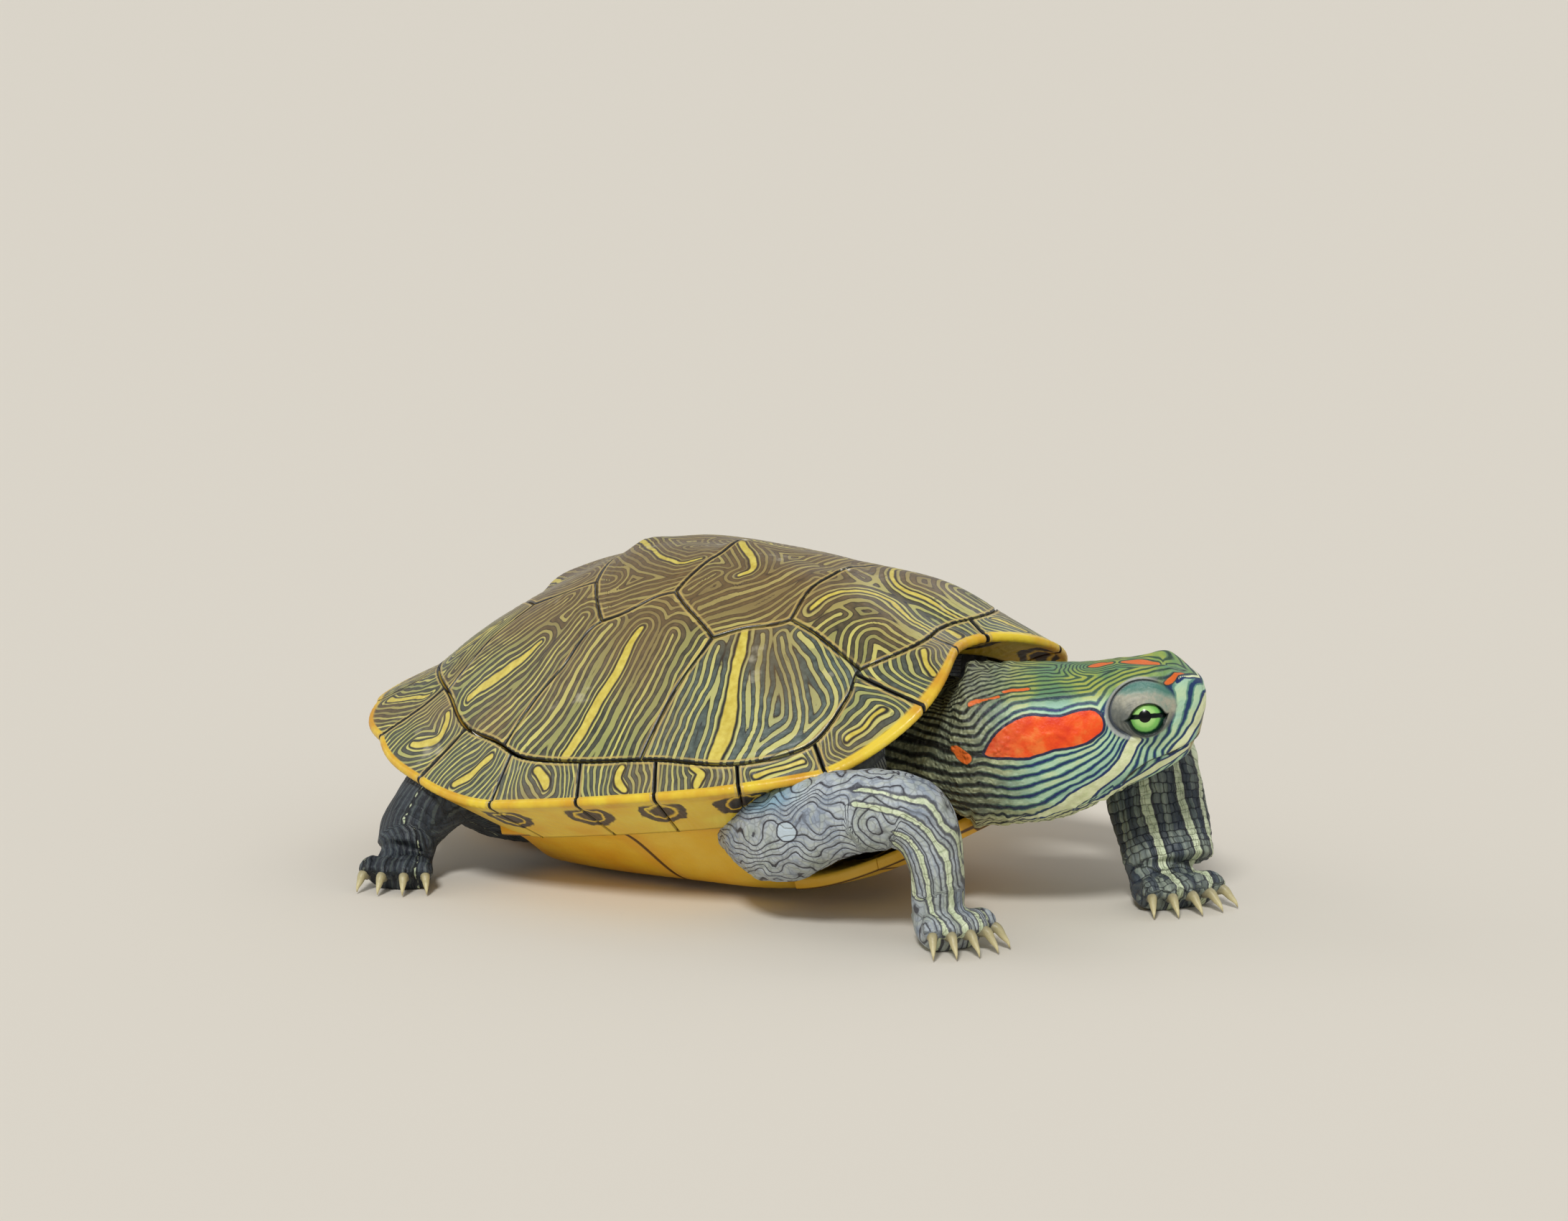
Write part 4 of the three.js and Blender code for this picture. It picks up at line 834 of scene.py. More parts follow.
def head_fields(local):
    """Fields for the painter over the head and neck, from places in the head's frame: how many lines
    lie between neighbouring stripes, and signed distances to each marking."""
    x, y, z = local[..., 0], np.abs(local[..., 1]), local[..., 2]
    half, top, base, middle = (profile(table, np.clip(x, -3, 33))
                               for table in (HEAD_WIDTH, HEAD_TOP, HEAD_BASE, HEAD_MIDDLE))
    inset = np.maximum(0, 0.72 * half - y)
    reach = np.where(z > middle, top - middle, middle - base)
    w = z + np.where(z > middle, 1.0, -1.0) * inset * 0.9 * ease(0.3, 0.75, np.abs(z - middle) / reach)
    shift = np.stack([ripple(local, 6, 11), ripple(local, 6, 12)], -1) * 0.22
    fine = np.stack([ripple(local, 2.2, 13), ripple(local, 2.2, 14)], -1) * 0.06
    flat = np.stack([x, w], -1) + shift + fine
    red, cheek, snout, jaw, nose = (band(flat, beads) for beads in
                                    (RED_PATCH, CHEEK_STRIPE, SNOUT_STRIPE, JAW_STRIPE, NOSE_LINE))
    over = np.interp(flat[..., 0], *np.array(ABOVE_LINE).T)
    above = flat[..., 1] > over
    upper = np.minimum(red, band(flat, [(a, b, 0.3) for a, b in ABOVE_LINE], 60))
    behind = flat[..., 0] < cheek_back(flat[..., 1])
    mouth = band(flat, MOUTH)
    under_mouth = (flat[..., 1] < mouth_height(flat[..., 0])) & (flat[..., 0] > 19)
    d_cheek, d_upper = np.maximum(cheek, 0), np.maximum(upper, 0)
    between = (6 + 2 * ease(8, -4, x)) * d_upper / np.maximum(d_upper + d_cheek, 0.3)
    front = 5 * d_cheek / np.maximum(d_cheek + np.maximum(snout, 0), 0.3)
    loops = np.minimum.reduce([np.maximum(band(flat, beads), 0) for beads in CROWN_LOOPS])
    top_lines = soft_least([upper / 1.12, 0.5 + loops / 0.62], 0.25)
    ahead_of = np.where(under_mouth | (flat[..., 0] < 18), d_cheek / 1.4, front)
    phase = np.where(above, top_lines, np.where(behind, between, ahead_of))
    dx, dz = x - EYE[0], z - EYE[2]
    beside = y > 2
    # How high up the lids a place lies, for the painter's shade below and highlight above.
    rise = dz - OPENING_AT[1] + 0.42 * (dx - OPENING_AT[0])
    lid_tone = ease(-1.5, 2.4, rise) + ease(3.0, 4.4, dz - OPENING_AT[1] + 0.5 * np.maximum(dx - 3, 0))
    beak = flat[..., 0] - np.interp(flat[..., 1], *np.array(BEAK_EDGE).T)
    orange = np.minimum.reduce([band(flat, beads) for beads in ORANGE])
    return {"phase": phase, "red": red, "pale": np.minimum.reduce([cheek, snout, jaw, nose]), "orange": orange,
            "lid": np.where(beside, across_lids(dx, dz), 9), "lid_tone": lid_tone, "crease": crease_share(dx, dz),
            "beak": beak, "rearward": ease(9, -3, x), "crown": ease(3.2, 5.6, w - 2.4 * ease(25, 28, x)),
            "throat": ease(-12.5, -15, w), "mouth": mouth, "opening": np.where(beside, eye_opening(dx, dz), 5)}


# What every field of the skin says where a part has no such marking.
NO_MARKING = {"head": 0, "known": 1, "phase": 0, "red": 9, "pale": 9, "orange": 9, "lid": 9, "lid_tone": 0,
              "crease": 0, "beak": -9, "rearward": 0, "crown": 0, "throat": 0, "mouth": 9, "opening": 5,
              "row": 0, "col": 0, "stripe": 9, "scaly": 0, "blue": 0, "dark": 0, "pearl": 9}


def skin_fields(shape, **given):
    """Every field of the skin over a shape of points: those given, and no marking for the rest."""
    return {name: np.zeros(shape) + given.get(name, value) for name, value in NO_MARKING.items()}


def build_head():
    """The neck and head as one tube, closely ringed about the eyes and the snout. The mouth, nostrils,
    eardrums, wrinkles and the sagging throat are pressed into it or raised along its own normals."""
    stations = np.concatenate([np.linspace(BACK_OF_NECK, -0.5, 28),
                               spread(0, HEAD_LENGTH, 174, [(EYE[0], 4.4, 1.5), (32.4, 1.2, 2.2)])])
    fine = np.linspace(0, TAU, 3000)
    sample = head_ring(np.full(3000, EYE[0]), fine)
    travel = np.concatenate([[0], np.cumsum(np.linalg.norm(np.diff(sample, axis=0), axis=1))])
    eyes = np.interp(np.array([9, 171]) * DEG, fine, travel)
    crowded = [(place, 3.6, 1.4) for place in (*eyes, travel[-1] + eyes[0])]
    placed = spread(0, travel[-1], 241, crowded)[:-1]
    angles = np.interp(placed, travel, fine)
    rows, around = stations[:, None] + 0 * angles, 0 * stations[:, None] + angles
    head = from_head(head_ring(np.maximum(rows, -4), around))
    sections = np.stack([neck_section(0.33, 11, 10.5, 0, angles), neck_section(0.43, 12, 10.2, 14 * DEG, angles),
                         *(from_head(head_ring(np.full_like(angles, x), angles)) for x in (-4, 0, 4))])
    neck = through(NECK_STATIONS, sections, np.minimum(stations, 3.9))
    rings = np.where(rows[..., None] < 0, neck, head)
    local = shape_lids(to_head(rings))
    rings = from_head(local)
    normals = ring_normals(rings)
    x, y, z = local[..., 0], np.abs(local[..., 1]), local[..., 2]
    flat = np.stack([x, z], -1)
    mouth = band(flat, MOUTH)
    line = mouth_height(x)
    bite = ease(18.6, 21, x) * (0.16 * bell(z - line - 0.7, 0.7) - 0.42 * bell(mouth, 0.24)
                                - 0.22 * bell(z - line + 0.9, 0.9))
    nostril = -0.4 * bell(np.hypot(y - 1.1, z - 3.0), 0.3) * ease(30.5, 31.5, x)
    drum = (y > 3) * (0.1 * bell(np.hypot(x - 9.5, z + 3.4) - 3.5, 0.35)
                      + 0.25 * bell(np.hypot((x - 11) / 5, (z + 0.5) / 3.4), 0.9))
    wrinkles = ease(6, -3, x) * (0.28 * ripple(local * [1.4, 0.5, 0.5], 3.2, 31) + 0.16 * ripple(local, 1.5, 32))
    sag = (ease(-9, -13, z) * (0.22 * ripple(local * [0.5, 1.3, 1.3], 3.0, 33) + 0.1 * ripple(local, 1.2, 34))
           * ease(28, 20, x))
    skull = 0.05 * ripple(local, 2.4, 35) * (mouth > 0.6)
    away_from_eye = np.where(y > 2, ease(0.95, 1.25, across_lids(x - EYE[0], z - EYE[2])), 1)
    rings = rings + ((bite + nostril + drum + wrinkles + sag + skull) * away_from_eye)[..., None] * normals
    return rings, skin_fields(x.shape, head=1, **head_fields(local))


# ---------------------------------------------------------------- limbs, tail and trunk


def smooth_path(places, t):
    """A centripetal Catmull-Rom curve through places: its points and unit tangents at t from 0 to 1."""
    p = np.asarray(places, float)
    last = len(p) - 1
    p = np.vstack([2 * p[0] - p[1], p, 2 * p[-1] - p[-2]])
    k = np.clip((t * last).astype(int), 0, last - 1)
    w = (t * last - k)[:, None]
    a, b, c, d = p[k], p[k + 1], p[k + 2], p[k + 3]
    g0, g1, g2 = (np.sqrt(np.linalg.norm(far - near, axis=1))[:, None] for near, far in ((a, b), (b, c), (c, d)))
    m1 = ((b - a) / g0 - (c - a) / (g0 + g1) + (c - b) / g1) * g1
    m2 = ((c - b) / g1 - (d - b) / (g1 + g2) + (d - c) / g2) * g1
    square, cube = 3 * (c - b) - 2 * m1 - m2, 2 * (b - c) + m1 + m2
    return b + w * (m1 + w * (square + w * cube)), unit(m1 + w * (2 * square + 3 * w * cube))


def limb_frames(stations, t):
    """Along a limb: its middle, half breadth and half thickness, and the directions of both."""
    places, halves, thicks, broads = (np.array([s[k] for s in stations], float) for k in range(4))
    at = t * (len(stations) - 1)
    middle, tangent = smooth_path(places, t)
    numbers = np.arange(len(stations))
    broad = np.stack([np.interp(at, numbers, broads[:, k]) for k in range(3)], -1)
    broad = unit(broad - (broad * tangent).sum(-1, keepdims=True) * tangent)
    half, thick = through(numbers, halves, at), through(numbers, thicks, at)
    return middle, half, thick, broad, np.cross(tangent, broad)


def limb_rings(stations, rows, sides, rounded=False):
    """A limb skinned over its stations with superellipse sections; its far end may be rounded off."""
    t = np.linspace(0, 1, rows)
    middle, half, thick, broad, thin = (v[:, None] for v in limb_frames(stations, t))
    if rounded:
        end = np.sqrt(np.clip(1 - ease(0.72, 1.0, t) ** 2 * 0.96, 0, 1))[:, None]
        half, thick = half * end, thick * end
    angle = np.linspace(0, TAU, sides + 1)[:-1]
    across, outward_by = half * signed_power(np.cos(angle), 0.9), thick * signed_power(np.sin(angle), 0.9)
    return middle + across[..., None] * broad + outward_by[..., None] * thin


def in_shell(x, y, z):
    return from_shell([x * LENGTH, y * LENGTH, z * LENGTH])


def in_model(x, y, z):
    return np.array([x, y, z]) * LENGTH


UPRIGHT, LENGTHWISE = (0.2, 0, 1), (1, 0, 0)
# Stations of each leg from inside the body to the ankle: the middle, half breadth, half thickness, and
# which way its breadth lies.
LEGS = {
    "fore_right": [(in_shell(0.2, -0.2, -0.12), 7, 6.5, UPRIGHT),
                   (in_shell(0.3, -0.255, -0.13), 7.5, 6.5, UPRIGHT),
                   (in_model(0.43, -0.235, 0.168), 6.6, 5.6, UPRIGHT),
                   (in_model(0.52, -0.195, 0.172), 5.4, 5.4, (0.7, 0.2, 0.6)),
                   (in_model(0.542, -0.178, 0.11), 4.2, 5.6, (0.8, 0.6, 0)),
                   (in_model(0.541, -0.172, 0.05), 4, 5.2, (0.8, 0.6, 0))],
    "fore_left": [(in_shell(0.2, 0.2, -0.12), 7, 6.5, UPRIGHT),
                  (in_shell(0.32, 0.27, -0.13), 7.5, 6.5, UPRIGHT),
                  (in_model(0.46, 0.29, 0.22), 6.8, 5.8, (0.3, 0, 1)),
                  (in_model(0.545, 0.262, 0.21), 6.6, 4.8, (0.7, 0.7, 0.3)),
                  (in_model(0.59, 0.234, 0.13), 7.6, 4, (0.73, 0.68, 0)),
                  (in_model(0.63, 0.211, 0.055), 7, 3.6, (0.73, 0.68, 0))],
    "hind_right": [(in_shell(-0.15, -0.17, -0.1), 8, 6.5, LENGTHWISE),
                   (in_shell(-0.22, -0.25, -0.1), 8.5, 6.5, LENGTHWISE),
                   (in_model(-0.215, -0.333, 0.128), 7.6, 5.6, (0.9, -0.2, 0)),
                   (in_model(-0.242, -0.385, 0.075), 6, 4.8, (0.8, -0.3, 0)),
                   (in_model(-0.235, -0.41, 0.042), 5.2, 4.2, (0.9, -0.3, 0))],
    "hind_left": [(in_shell(-0.2, 0.18, -0.1), 8, 6.5, LENGTHWISE),
                  (in_shell(-0.3, 0.25, -0.1), 8.5, 6.5, (1, 0.4, 0)),
                  (in_model(-0.42, 0.35, 0.15), 7.4, 5.6, (0.6, 0.9, 0)),
                  (in_model(-0.48, 0.39, 0.085), 5.8, 4.8, (0.5, 0.9, 0)),
                  (in_model(-0.5, 0.405, 0.045), 5.2, 4.2, (0.5, 0.9, 0))],
}
# Ankle over the floor, heading, palm length and half width, height, digits, their reach and spread, claws.
FEET = {
    "fore_right": ((0.541, -0.172), -16, 6, 5.2, 3.2, 5, 5, 60, 4.2),
    "fore_left": ((0.622, 0.206), -20, 6.5, 7, 2.8, 5, 4.6, 52, 4.8),
    "hind_right": ((-0.232, -0.412), -56, 6.6, 5.4, 2.8, 4, 5, 40, 3.2),
    "hind_left": ((-0.5, 0.405), 150, 7.5, 5.6, 2.8, 4, 5.6, 48, 3.2),
}
TAIL = [(in_shell(-0.36, 0, -0.1), 5.4, 4.8, (0, 1, 0)), (in_shell(-0.43, 0.01, -0.1), 4.6, 4.2, (0, 1, 0)),
        (in_shell(-0.5, 0.035, -0.12), 3.2, 3, (0, 1, 0)), (in_shell(-0.555, 0.075, -0.145), 1.9, 1.8, (0, 1, 0)),
        (in_shell(-0.59, 0.125, -0.165), 0.6, 0.6, (0, 1, 0))]


def toward(heading):
    return np.array([np.cos(heading * DEG), np.sin(heading * DEG), 0])


def at_height(place, height):
    return np.array([place[0], place[1], height])


def foot_parts(at, heading, palm, half, tall, digits, reach, spread_angle, claw):
    """Stations of a foot's pad, of each toe, and of each claw."""
    ankle, forward, across = np.array([*at, 0]) * LENGTH, toward(heading), toward(heading + 90)
    pad = [(at_height(ankle - 2 * forward, 5.4), half * 0.66, 3.6, across),
           (at_height(ankle + forward, tall), half * 0.84, tall + 0.6, across),
           (at_height(ankle + 0.6 * palm * forward, tall - 0.6), half, tall, across),
           (at_height(ankle + palm * forward, tall - 0.6), half * 0.96, tall - 0.4, across)]
    toes, claws = [], []
    for digit in range(digits):
        share = digit / (digits - 1) - 0.5
        way, side = toward(heading - share * spread_angle), toward(heading - share * spread_angle + 90)
        root = ankle + 0.55 * palm * forward - share * half * 1.35 * across
        length = reach * (1 - 0.9 * share * share)
        toes.append([(at_height(root, tall), 1.6, 2, side),
                     (at_height(root + 0.35 * length * way, tall + 0.9), 1.45, 1.8, side),
                     (at_height(root + 0.75 * length * way, tall + 0.6), 1.4, 1.6, side),
                     (at_height(root + (length + 0.5) * way, tall - 0.4), 1.15, 1.3, side)])
        claws.append([(at_height(root + (length - 0.7) * way, tall - 0.2), 0.85, 0.95, side),
                      (at_height(root + (length + 0.14 * claw) * way, tall - 0.1), 0.74, 0.8, side),
                      (at_height(root + (length + 0.40 * claw) * way, 0.62 * tall), 0.5, 0.55, side),
                      (at_height(root + (length + 0.60 * claw) * way, 0.34 * tall), 0.25, 0.28, side),
                      (at_height(root + (length + 0.68 * claw) * way, 0.25), 0.05, 0.06, side)])
    return pad, toes, claws


def trunk_rings(rows=50, count=26):
    """The body inside the shell: it follows the carapace above and the belly below, clear of both, and
    draws in to a rounded rump."""
    depth, rings = PLATE + 1.4, []
    for x in np.linspace(-0.41, 0.37, rows) * LENGTH:
        bridged = bool(is_bridged(x))
        half = float(bridge_half(np.array(x)) - 1 if bridged else 0.8 * bridge_half(np.array(x)))
        y = np.linspace(-half, half, count)
        line = np.full(count, x)
        above = on_dome(line, y, np.full(count, depth))
        low = belly_surface(line, y, depth, bridged)
        if not bridged:
            beyond = ease(float(lobe_half(np.array(x))) * 0.8, half, np.abs(y))
            low[:, 2] = mix(low[:, 2], dome_height(line, y) - 9, beyond)
        low[:, 2] = np.minimum(low[:, 2], above[:, 2] - 1)
        ring = np.concatenate([above, low[::-1]])
        closing = np.sqrt(1 - 0.9 * np.clip((-0.27 - x / LENGTH) / 0.14, 0, 1) ** 2.2)
        rings.append(mix(ring.mean(0), ring, closing))
    return from_shell(np.array(rings))


def melt(lofts, voxel, passes):
    """Joins overlapping closed tubes into one skin of four-sided faces: made solid in small cells, then
    smoothed. Returns its points, their normals and its faces."""
    points, faces, start = [], [], 0
    for rings in lofts:
        tube = capped(rings)
        points.append(tube[0])
        faces += [[k + start for k in face] for face in outward(*tube)]
        start += len(tube[0])
    rough = add_mesh("rough", np.vstack(points), faces)
    remesh = rough.modifiers.new("solid", "REMESH")
    remesh.mode, remesh.voxel_size = "VOXEL", voxel * MM
    smooth = rough.modifiers.new("smooth", "SMOOTH")
    smooth.factor, smooth.iterations = 0.5, passes
    solid = rough.evaluated_get(bpy.context.evaluated_depsgraph_get()).to_mesh()
    found = read(solid.vertices, "co", 3) / MM - OFFSET
    normals = read(solid.vertex_normals, "vector", 3)
    faces = read(solid.loops, "vertex_index", kind=int).reshape(-1, 4).tolist()
    bpy.data.objects.remove(rough)
    return found, normals, faces


def softened(path, reach):
    """A path of points with its corners rounded: each point is the mean of those within reach of it."""
    padded = np.pad(path, ((reach, reach), (0, 0)), mode="edge")
    total = np.cumsum(np.vstack([0 * path[:1], padded]), axis=0)
    return (total[2 * reach + 1:] - total[:-2 * reach - 1]) / (2 * reach + 1)


def along_path(points, stations, tip, beside):
    """Where each point lies on a limb and its foot: millimetres along the middle line, and off it
    both across and towards the thin side, the foot's own side being given; and the limb's length."""
    middle, _, _, broad, _ = limb_frames(stations, np.linspace(0, 1, 160))
    leg = np.linalg.norm(np.diff(middle, axis=0), axis=1).sum()
    steps = np.linspace(0.04, 1, 24)[:, None]
    beside = np.sign(beside @ broad[-1]) * beside + 0 * steps
    middle, broad = (softened(np.vstack(pair), 13)
                     for pair in ((middle, mix(middle[-1], tip, steps)), (broad, beside)))
    way = unit(np.gradient(middle, axis=0))
    broad = unit(broad - (broad * way).sum(-1, keepdims=True) * way)
    thin = np.cross(way, broad)
    travel = np.concatenate([[0], np.cumsum(np.linalg.norm(np.diff(middle, axis=0), axis=1))])
    k = np.concatenate([np.linalg.norm(points[n:n + 3000, None] - middle, axis=-1).argmin(1)
                        for n in range(0, len(points), 3000)])
    off = points - middle[k]
    return (travel[k] + (off * way[k]).sum(-1), (off * broad[k]).sum(-1), (off * thin[k]).sum(-1)), leg


def scale_height(row, col):
    """Overlapping rows of rounded scales, each row set off by half a scale from the last."""
    x = (col + 0.5 * np.mod(np.floor(row), 2)) % 1 - 0.5
    y = row % 1 - 0.5
    return np.clip(1 - (np.abs(2 * x) ** 3 + np.abs(2 * y) ** 3), 0, 1) ** 0.5


# For each leg: length of a row of scales and breadth of a scale, how scaly it is, how dark it is with painted shade
# (most on the legs under the shell), and its pale stripes, each a place across the limb and a half width.
LEG_LOOKS = {
    "fore_right": (2.4, 1.9, 0.12, 0.0, [(-3.4, 0.26), (-0.95, 0.38), (2.3, 0.32), (4.4, 0.2)]),
    "fore_left": (1.5, 1.3, 1.0, 0.35, [(-2.1, 0.7), (3.5, 0.58), (6.6, 0.3)]),
    "hind_right": (2.3, 2.2, 0.3, 1.0, [(-4.6, 0.12), (3.4, 0.08)]),
    "hind_left": (2.3, 2.2, 0.6, 0.9, [(-4.2, 0.4), (0.5, 0.4), (4.2, 0.4)]),
}


def build_limb(name):
    """One leg with its foot: a solid skin with scales and folds raised on it, its fields, and the
    stations of its claws. The fields count lines across the limb above the elbow, rings about a swirl
    in the crook of the arm, and lines round the limb below."""
    stations = LEGS[name]
    at, heading, palm = FEET[name][:3]
    pad, toes, claws = foot_parts(*FEET[name])
    lofts = [limb_rings(stations, 40, 28), limb_rings(pad, 16, 28, rounded=True)]
    lofts += [limb_rings(toe, 14, 16, rounded=True) for toe in toes]
    points, normals, faces = melt(lofts, voxel=0.54, passes=4)
    tip = at_height(np.array([*at, 0]) * LENGTH + (palm + 3) * toward(heading), 3.0)
    (along, across, out), leg = along_path(points, stations, tip, toward(heading + 90))
    fore, near = name.startswith("fore"), name == "fore_right"
    row_length, breadth, scaly, dark, stripes = LEG_LOOKS[name]
    round_by = across + np.where(out > 0, 0, 7.3) + 0.35 * ripple(points, 6, 63) + 0.1 * ripple(points, 2, 64)
    row = (along + 0.5 * ripple(points, 7, 61) + 0.15 * ripple(points, 2.5, 62)) / row_length
    elbow = leg * (0.655 if near else 0.5)
    lower = ease(elbow - 3, elbow + 3, along)
    foot = ease(leg - 2, leg + 3, along)
    past, aside = along - elbow + 3.2, across + 0.5
    swirl = np.hypot(past / 0.95, aside / 1.45) + 0.3 * ripple(points, 3, 76)
    wavy = across / 1.25 + 1.2 * ripple(points * [1, 1, 1.4], 9, 74) + 0.5 * ripple(points, 3.6, 75)
    wavy = mix(wavy, swirl, fore * ease(4.3, 3.5, swirl))
    begun = ease(-3, 1, along - elbow + 6 * ease(0.8, 2.4, across))
    fold = 0.16 * ripple(points, 5, 66) + 0.1 * ripple(points, 1.6, 65) * (1 - lower)
    scale = 0.22 * scaly * scale_height(row, round_by / breadth) * lower * (1 - 0.5 * foot)
    crook = (ease(1.5, -2.5, across) * bell(along - elbow + 0.4, 1.0)
             + 0.6 * bell(np.hypot(past, aside) - 2, 0.5))
    points = points + (scale + fold - 0.4 * fore * (1 - scaly) * crook)[:, None] * normals
    points[:, 2] = np.maximum(points[:, 2], 0)
    sideways = np.where(out > 0, round_by, across)
    edge = np.minimum.reduce([np.abs(sideways - place) - half for place, half in stripes])
    pearl = np.hypot(along - 0.36 * leg, across + 0.3) + 9 * (out < 0) + 9 * (not near)
    return points, faces, skin_fields(
        len(points), row=row, col=round_by / breadth, stripe=edge + 1.4 * (1 - begun), scaly=scaly * lower,
        phase=mix(wavy, round_by / 1.15, lower), dark=dark, pearl=pearl,
        blue=near * ease(2.6, 4.8, across) * ease(24, 18, along)), claws


def fill_in(mesh):
    """Where joined surfaces meet, new points have no fields of their own: each takes the mean of its
    neighbours' that have, and so on outward from them six times."""
    count = len(mesh.vertices)
    edges = read(mesh.edges, "vertices", 2, int)
    both = np.vstack([edges, edges[:, ::-1]])
    values = {name: read(mesh.attributes[name].data, "value", kind=np.float32) for name in NO_MARKING}
    known = values.pop("known") > 0.99
    for _ in range(6):
        source = known[both[:, 1]] & ~known[both[:, 0]]
        weight = np.bincount(both[source, 0], minlength=count)
        fill = weight > 0
        for field in values.values():
            total = np.bincount(both[source, 0], field[both[source, 1]], count)
            field[fill] = total[fill] / weight[fill]
        known = known | fill
    for name, field in values.items():
        mesh.attributes[name].data.foreach_set("value", field)
    mesh.attributes.remove(mesh.attributes["known"])


def build_skin():
    """The whole skin: head, neck, legs, trunk and tail joined into one closed surface, with its fields
    and a first material for the head and neck and a second for the rest; and the claws' stations."""
    skin = add_loft("skin", *build_head())
    others, claws = [], {}
    for name in LEGS:
        points, faces, fields, claws[name] = build_limb(name)
        others.append(add_mesh("limb_" + name, points, faces, fields))
    trunk, tail = trunk_rings(), limb_rings(TAIL, 40, 24)
    creased = trunk[..., 2] / 2.4 + 0.8 * ripple(trunk, 9, 81)
    trunk = trunk + 0.25 * (np.sin(creased * TAU) + ripple(trunk, 3, 82) - 2)[..., None] * ring_normals(trunk)
    # The trunk lies in the shell's shadow: its dark field paints shade on it.
    others.append(add_loft("trunk", trunk, skin_fields(trunk.shape[:2], dark=0.75, phase=creased)))
    row, col = np.indices(tail.shape[:2])
    # The tail is half darkened with painted shade under the shell.
    others.append(add_loft("tail", tail, skin_fields(
        tail.shape[:2], row=0.8 * row, col=0.5 * col, scaly=0.6, dark=0.5, phase=0.5 * col,
        stripe=np.abs((15 * col + 20) % 72 - 36) * 0.08 - 0.7)))
    for other in others:
        union = skin.modifiers.new(other.name, "BOOLEAN")
        union.operation, union.solver, union.object = "UNION", "MANIFOLD", other
    joined = bpy.data.meshes.new_from_object(skin.evaluated_get(bpy.context.evaluated_depsgraph_get()))
    for piece in (skin, *others):
        bpy.data.objects.remove(piece)
    fill_in(joined)
    starts = read(joined.polygons, "loop_start", kind=int)
    corners = read(joined.loops, "vertex_index", kind=int)[starts]
    limbs = read(joined.attributes["head"].data, "value")[corners] < 0.5
    joined.materials.clear()
    joined.polygons.foreach_set("material_index", limbs.astype(np.int32))
    joined.polygons.foreach_set("use_smooth", np.ones(len(joined.polygons), bool))
    skin = bpy.data.objects.new("skin", joined)
    bpy.context.scene.collection.objects.link(skin)
    return skin, claws


def add_eye(side):
    """An eyeball with a slight cornea, as rings about the way it looks, and where each point lies
    across the iris."""
    gaze = unit(to_head(SHELL_AT + VIEW_DISTANCE * VIEW) - EYEBALL * [1, -1, 1])
    gaze[1] = side * abs(gaze[1])
    lift = unit(np.array([0, 0, 1.0]) - gaze[2] * gaze)
    along = np.cross(lift, gaze)
    polar = np.concatenate([np.linspace(0.6, 60, 70), np.linspace(63, 179, 30)]) * DEG
    around = np.linspace(0, TAU, 97)[:-1]
    radius = EYE_RADIUS + 0.12 * bell(polar, 0.55)
    out = np.sin(polar)[:, None] * radius[:, None]
    x, z = out * np.cos(around), out * np.sin(around)
    deep = (np.cos(polar) * radius)[:, None] + 0 * x
    points = x[..., None] * along + z[..., None] * lift + deep[..., None] * gaze
    centre = EYEBALL * [1, side, 1]
    return add_loft("eyeball_" + ("left" if side > 0 else "right"), from_head(points + centre),
                    {"gaze_x": x, "gaze_z": z, "front": deep})


def add_claws(name, claws):
    """The claws of one foot: curved tapering horns, one mesh, and how near its tip each point lies."""
    rows, sides = 22, 14
    points, quads, fans, start = [], [], [], 0
    for stations in claws:
        tube = capped(limb_rings(stations, rows, sides))
        for parts, part, shift in zip((points, quads, fans), tube, (0, start, start)):
            parts.append(part + shift)
        start += len(tube[0])
    points, quads, fans = (np.vstack(parts) for parts in (points, quads, fans))
    points[:, 2] = np.maximum(points[:, 2], 0.02)
    shares = np.append(np.repeat(np.linspace(0, 1, rows), sides), [0, 1])
    return add_mesh("claws_" + name, points, outward(points, quads, fans), {"tip": np.tile(shares, len(claws))})


# ---------------------------------------------------------------- finishes


class Number:
    """A shader socket that carries a number or a colour. Python's arithmetic adds Math nodes."""

    def __init__(self, finish, socket):
        self.finish, self.socket = finish, socket

    def math(self, operation, *others):
        """Adds one Math node."""
        return self.finish.node("ShaderNodeMath", {"operation": operation}, dict(enumerate((self,) + others)))

    def __add__(self, other): return self.math("ADD", other)
    def __mul__(self, other): return self.math("MULTIPLY", other)
    def __sub__(self, other): return self.math("SUBTRACT", other)
    def __rsub__(self, other): return self.math("MULTIPLY", -1) + other
    def __pow__(self, other): return self.math("POWER", other)
    __radd__, __rmul__ = __add__, __mul__

    def most(self, other): return self.math("MAXIMUM", other)
    def fraction(self): return self.math("FRACT")
    def size(self): return self.math("ABSOLUTE")

    def ease(self, low, high):
        """0 below low and 1 above high, or the other way about where low is the higher."""
        settings = {"interpolation_type": "SMOOTHSTEP"}
        if low < high:
            return self.finish.node("ShaderNodeMapRange", settings, {0: self, 1: low, 2: high})
        return 1 - self.finish.node("ShaderNodeMapRange", settings, {0: self, 1: high, 2: low})


def paint(text):
    """A colour as a screen shows it, from its six hex digits, in the shader's linear measure."""
    parts = np.array([int(text[k:k + 2], 16) for k in (0, 2, 4)]) / 255
    return (*np.where(parts <= 0.04045, parts / 12.92, ((parts + 0.055) / 1.055) ** 2.4), 1.0)


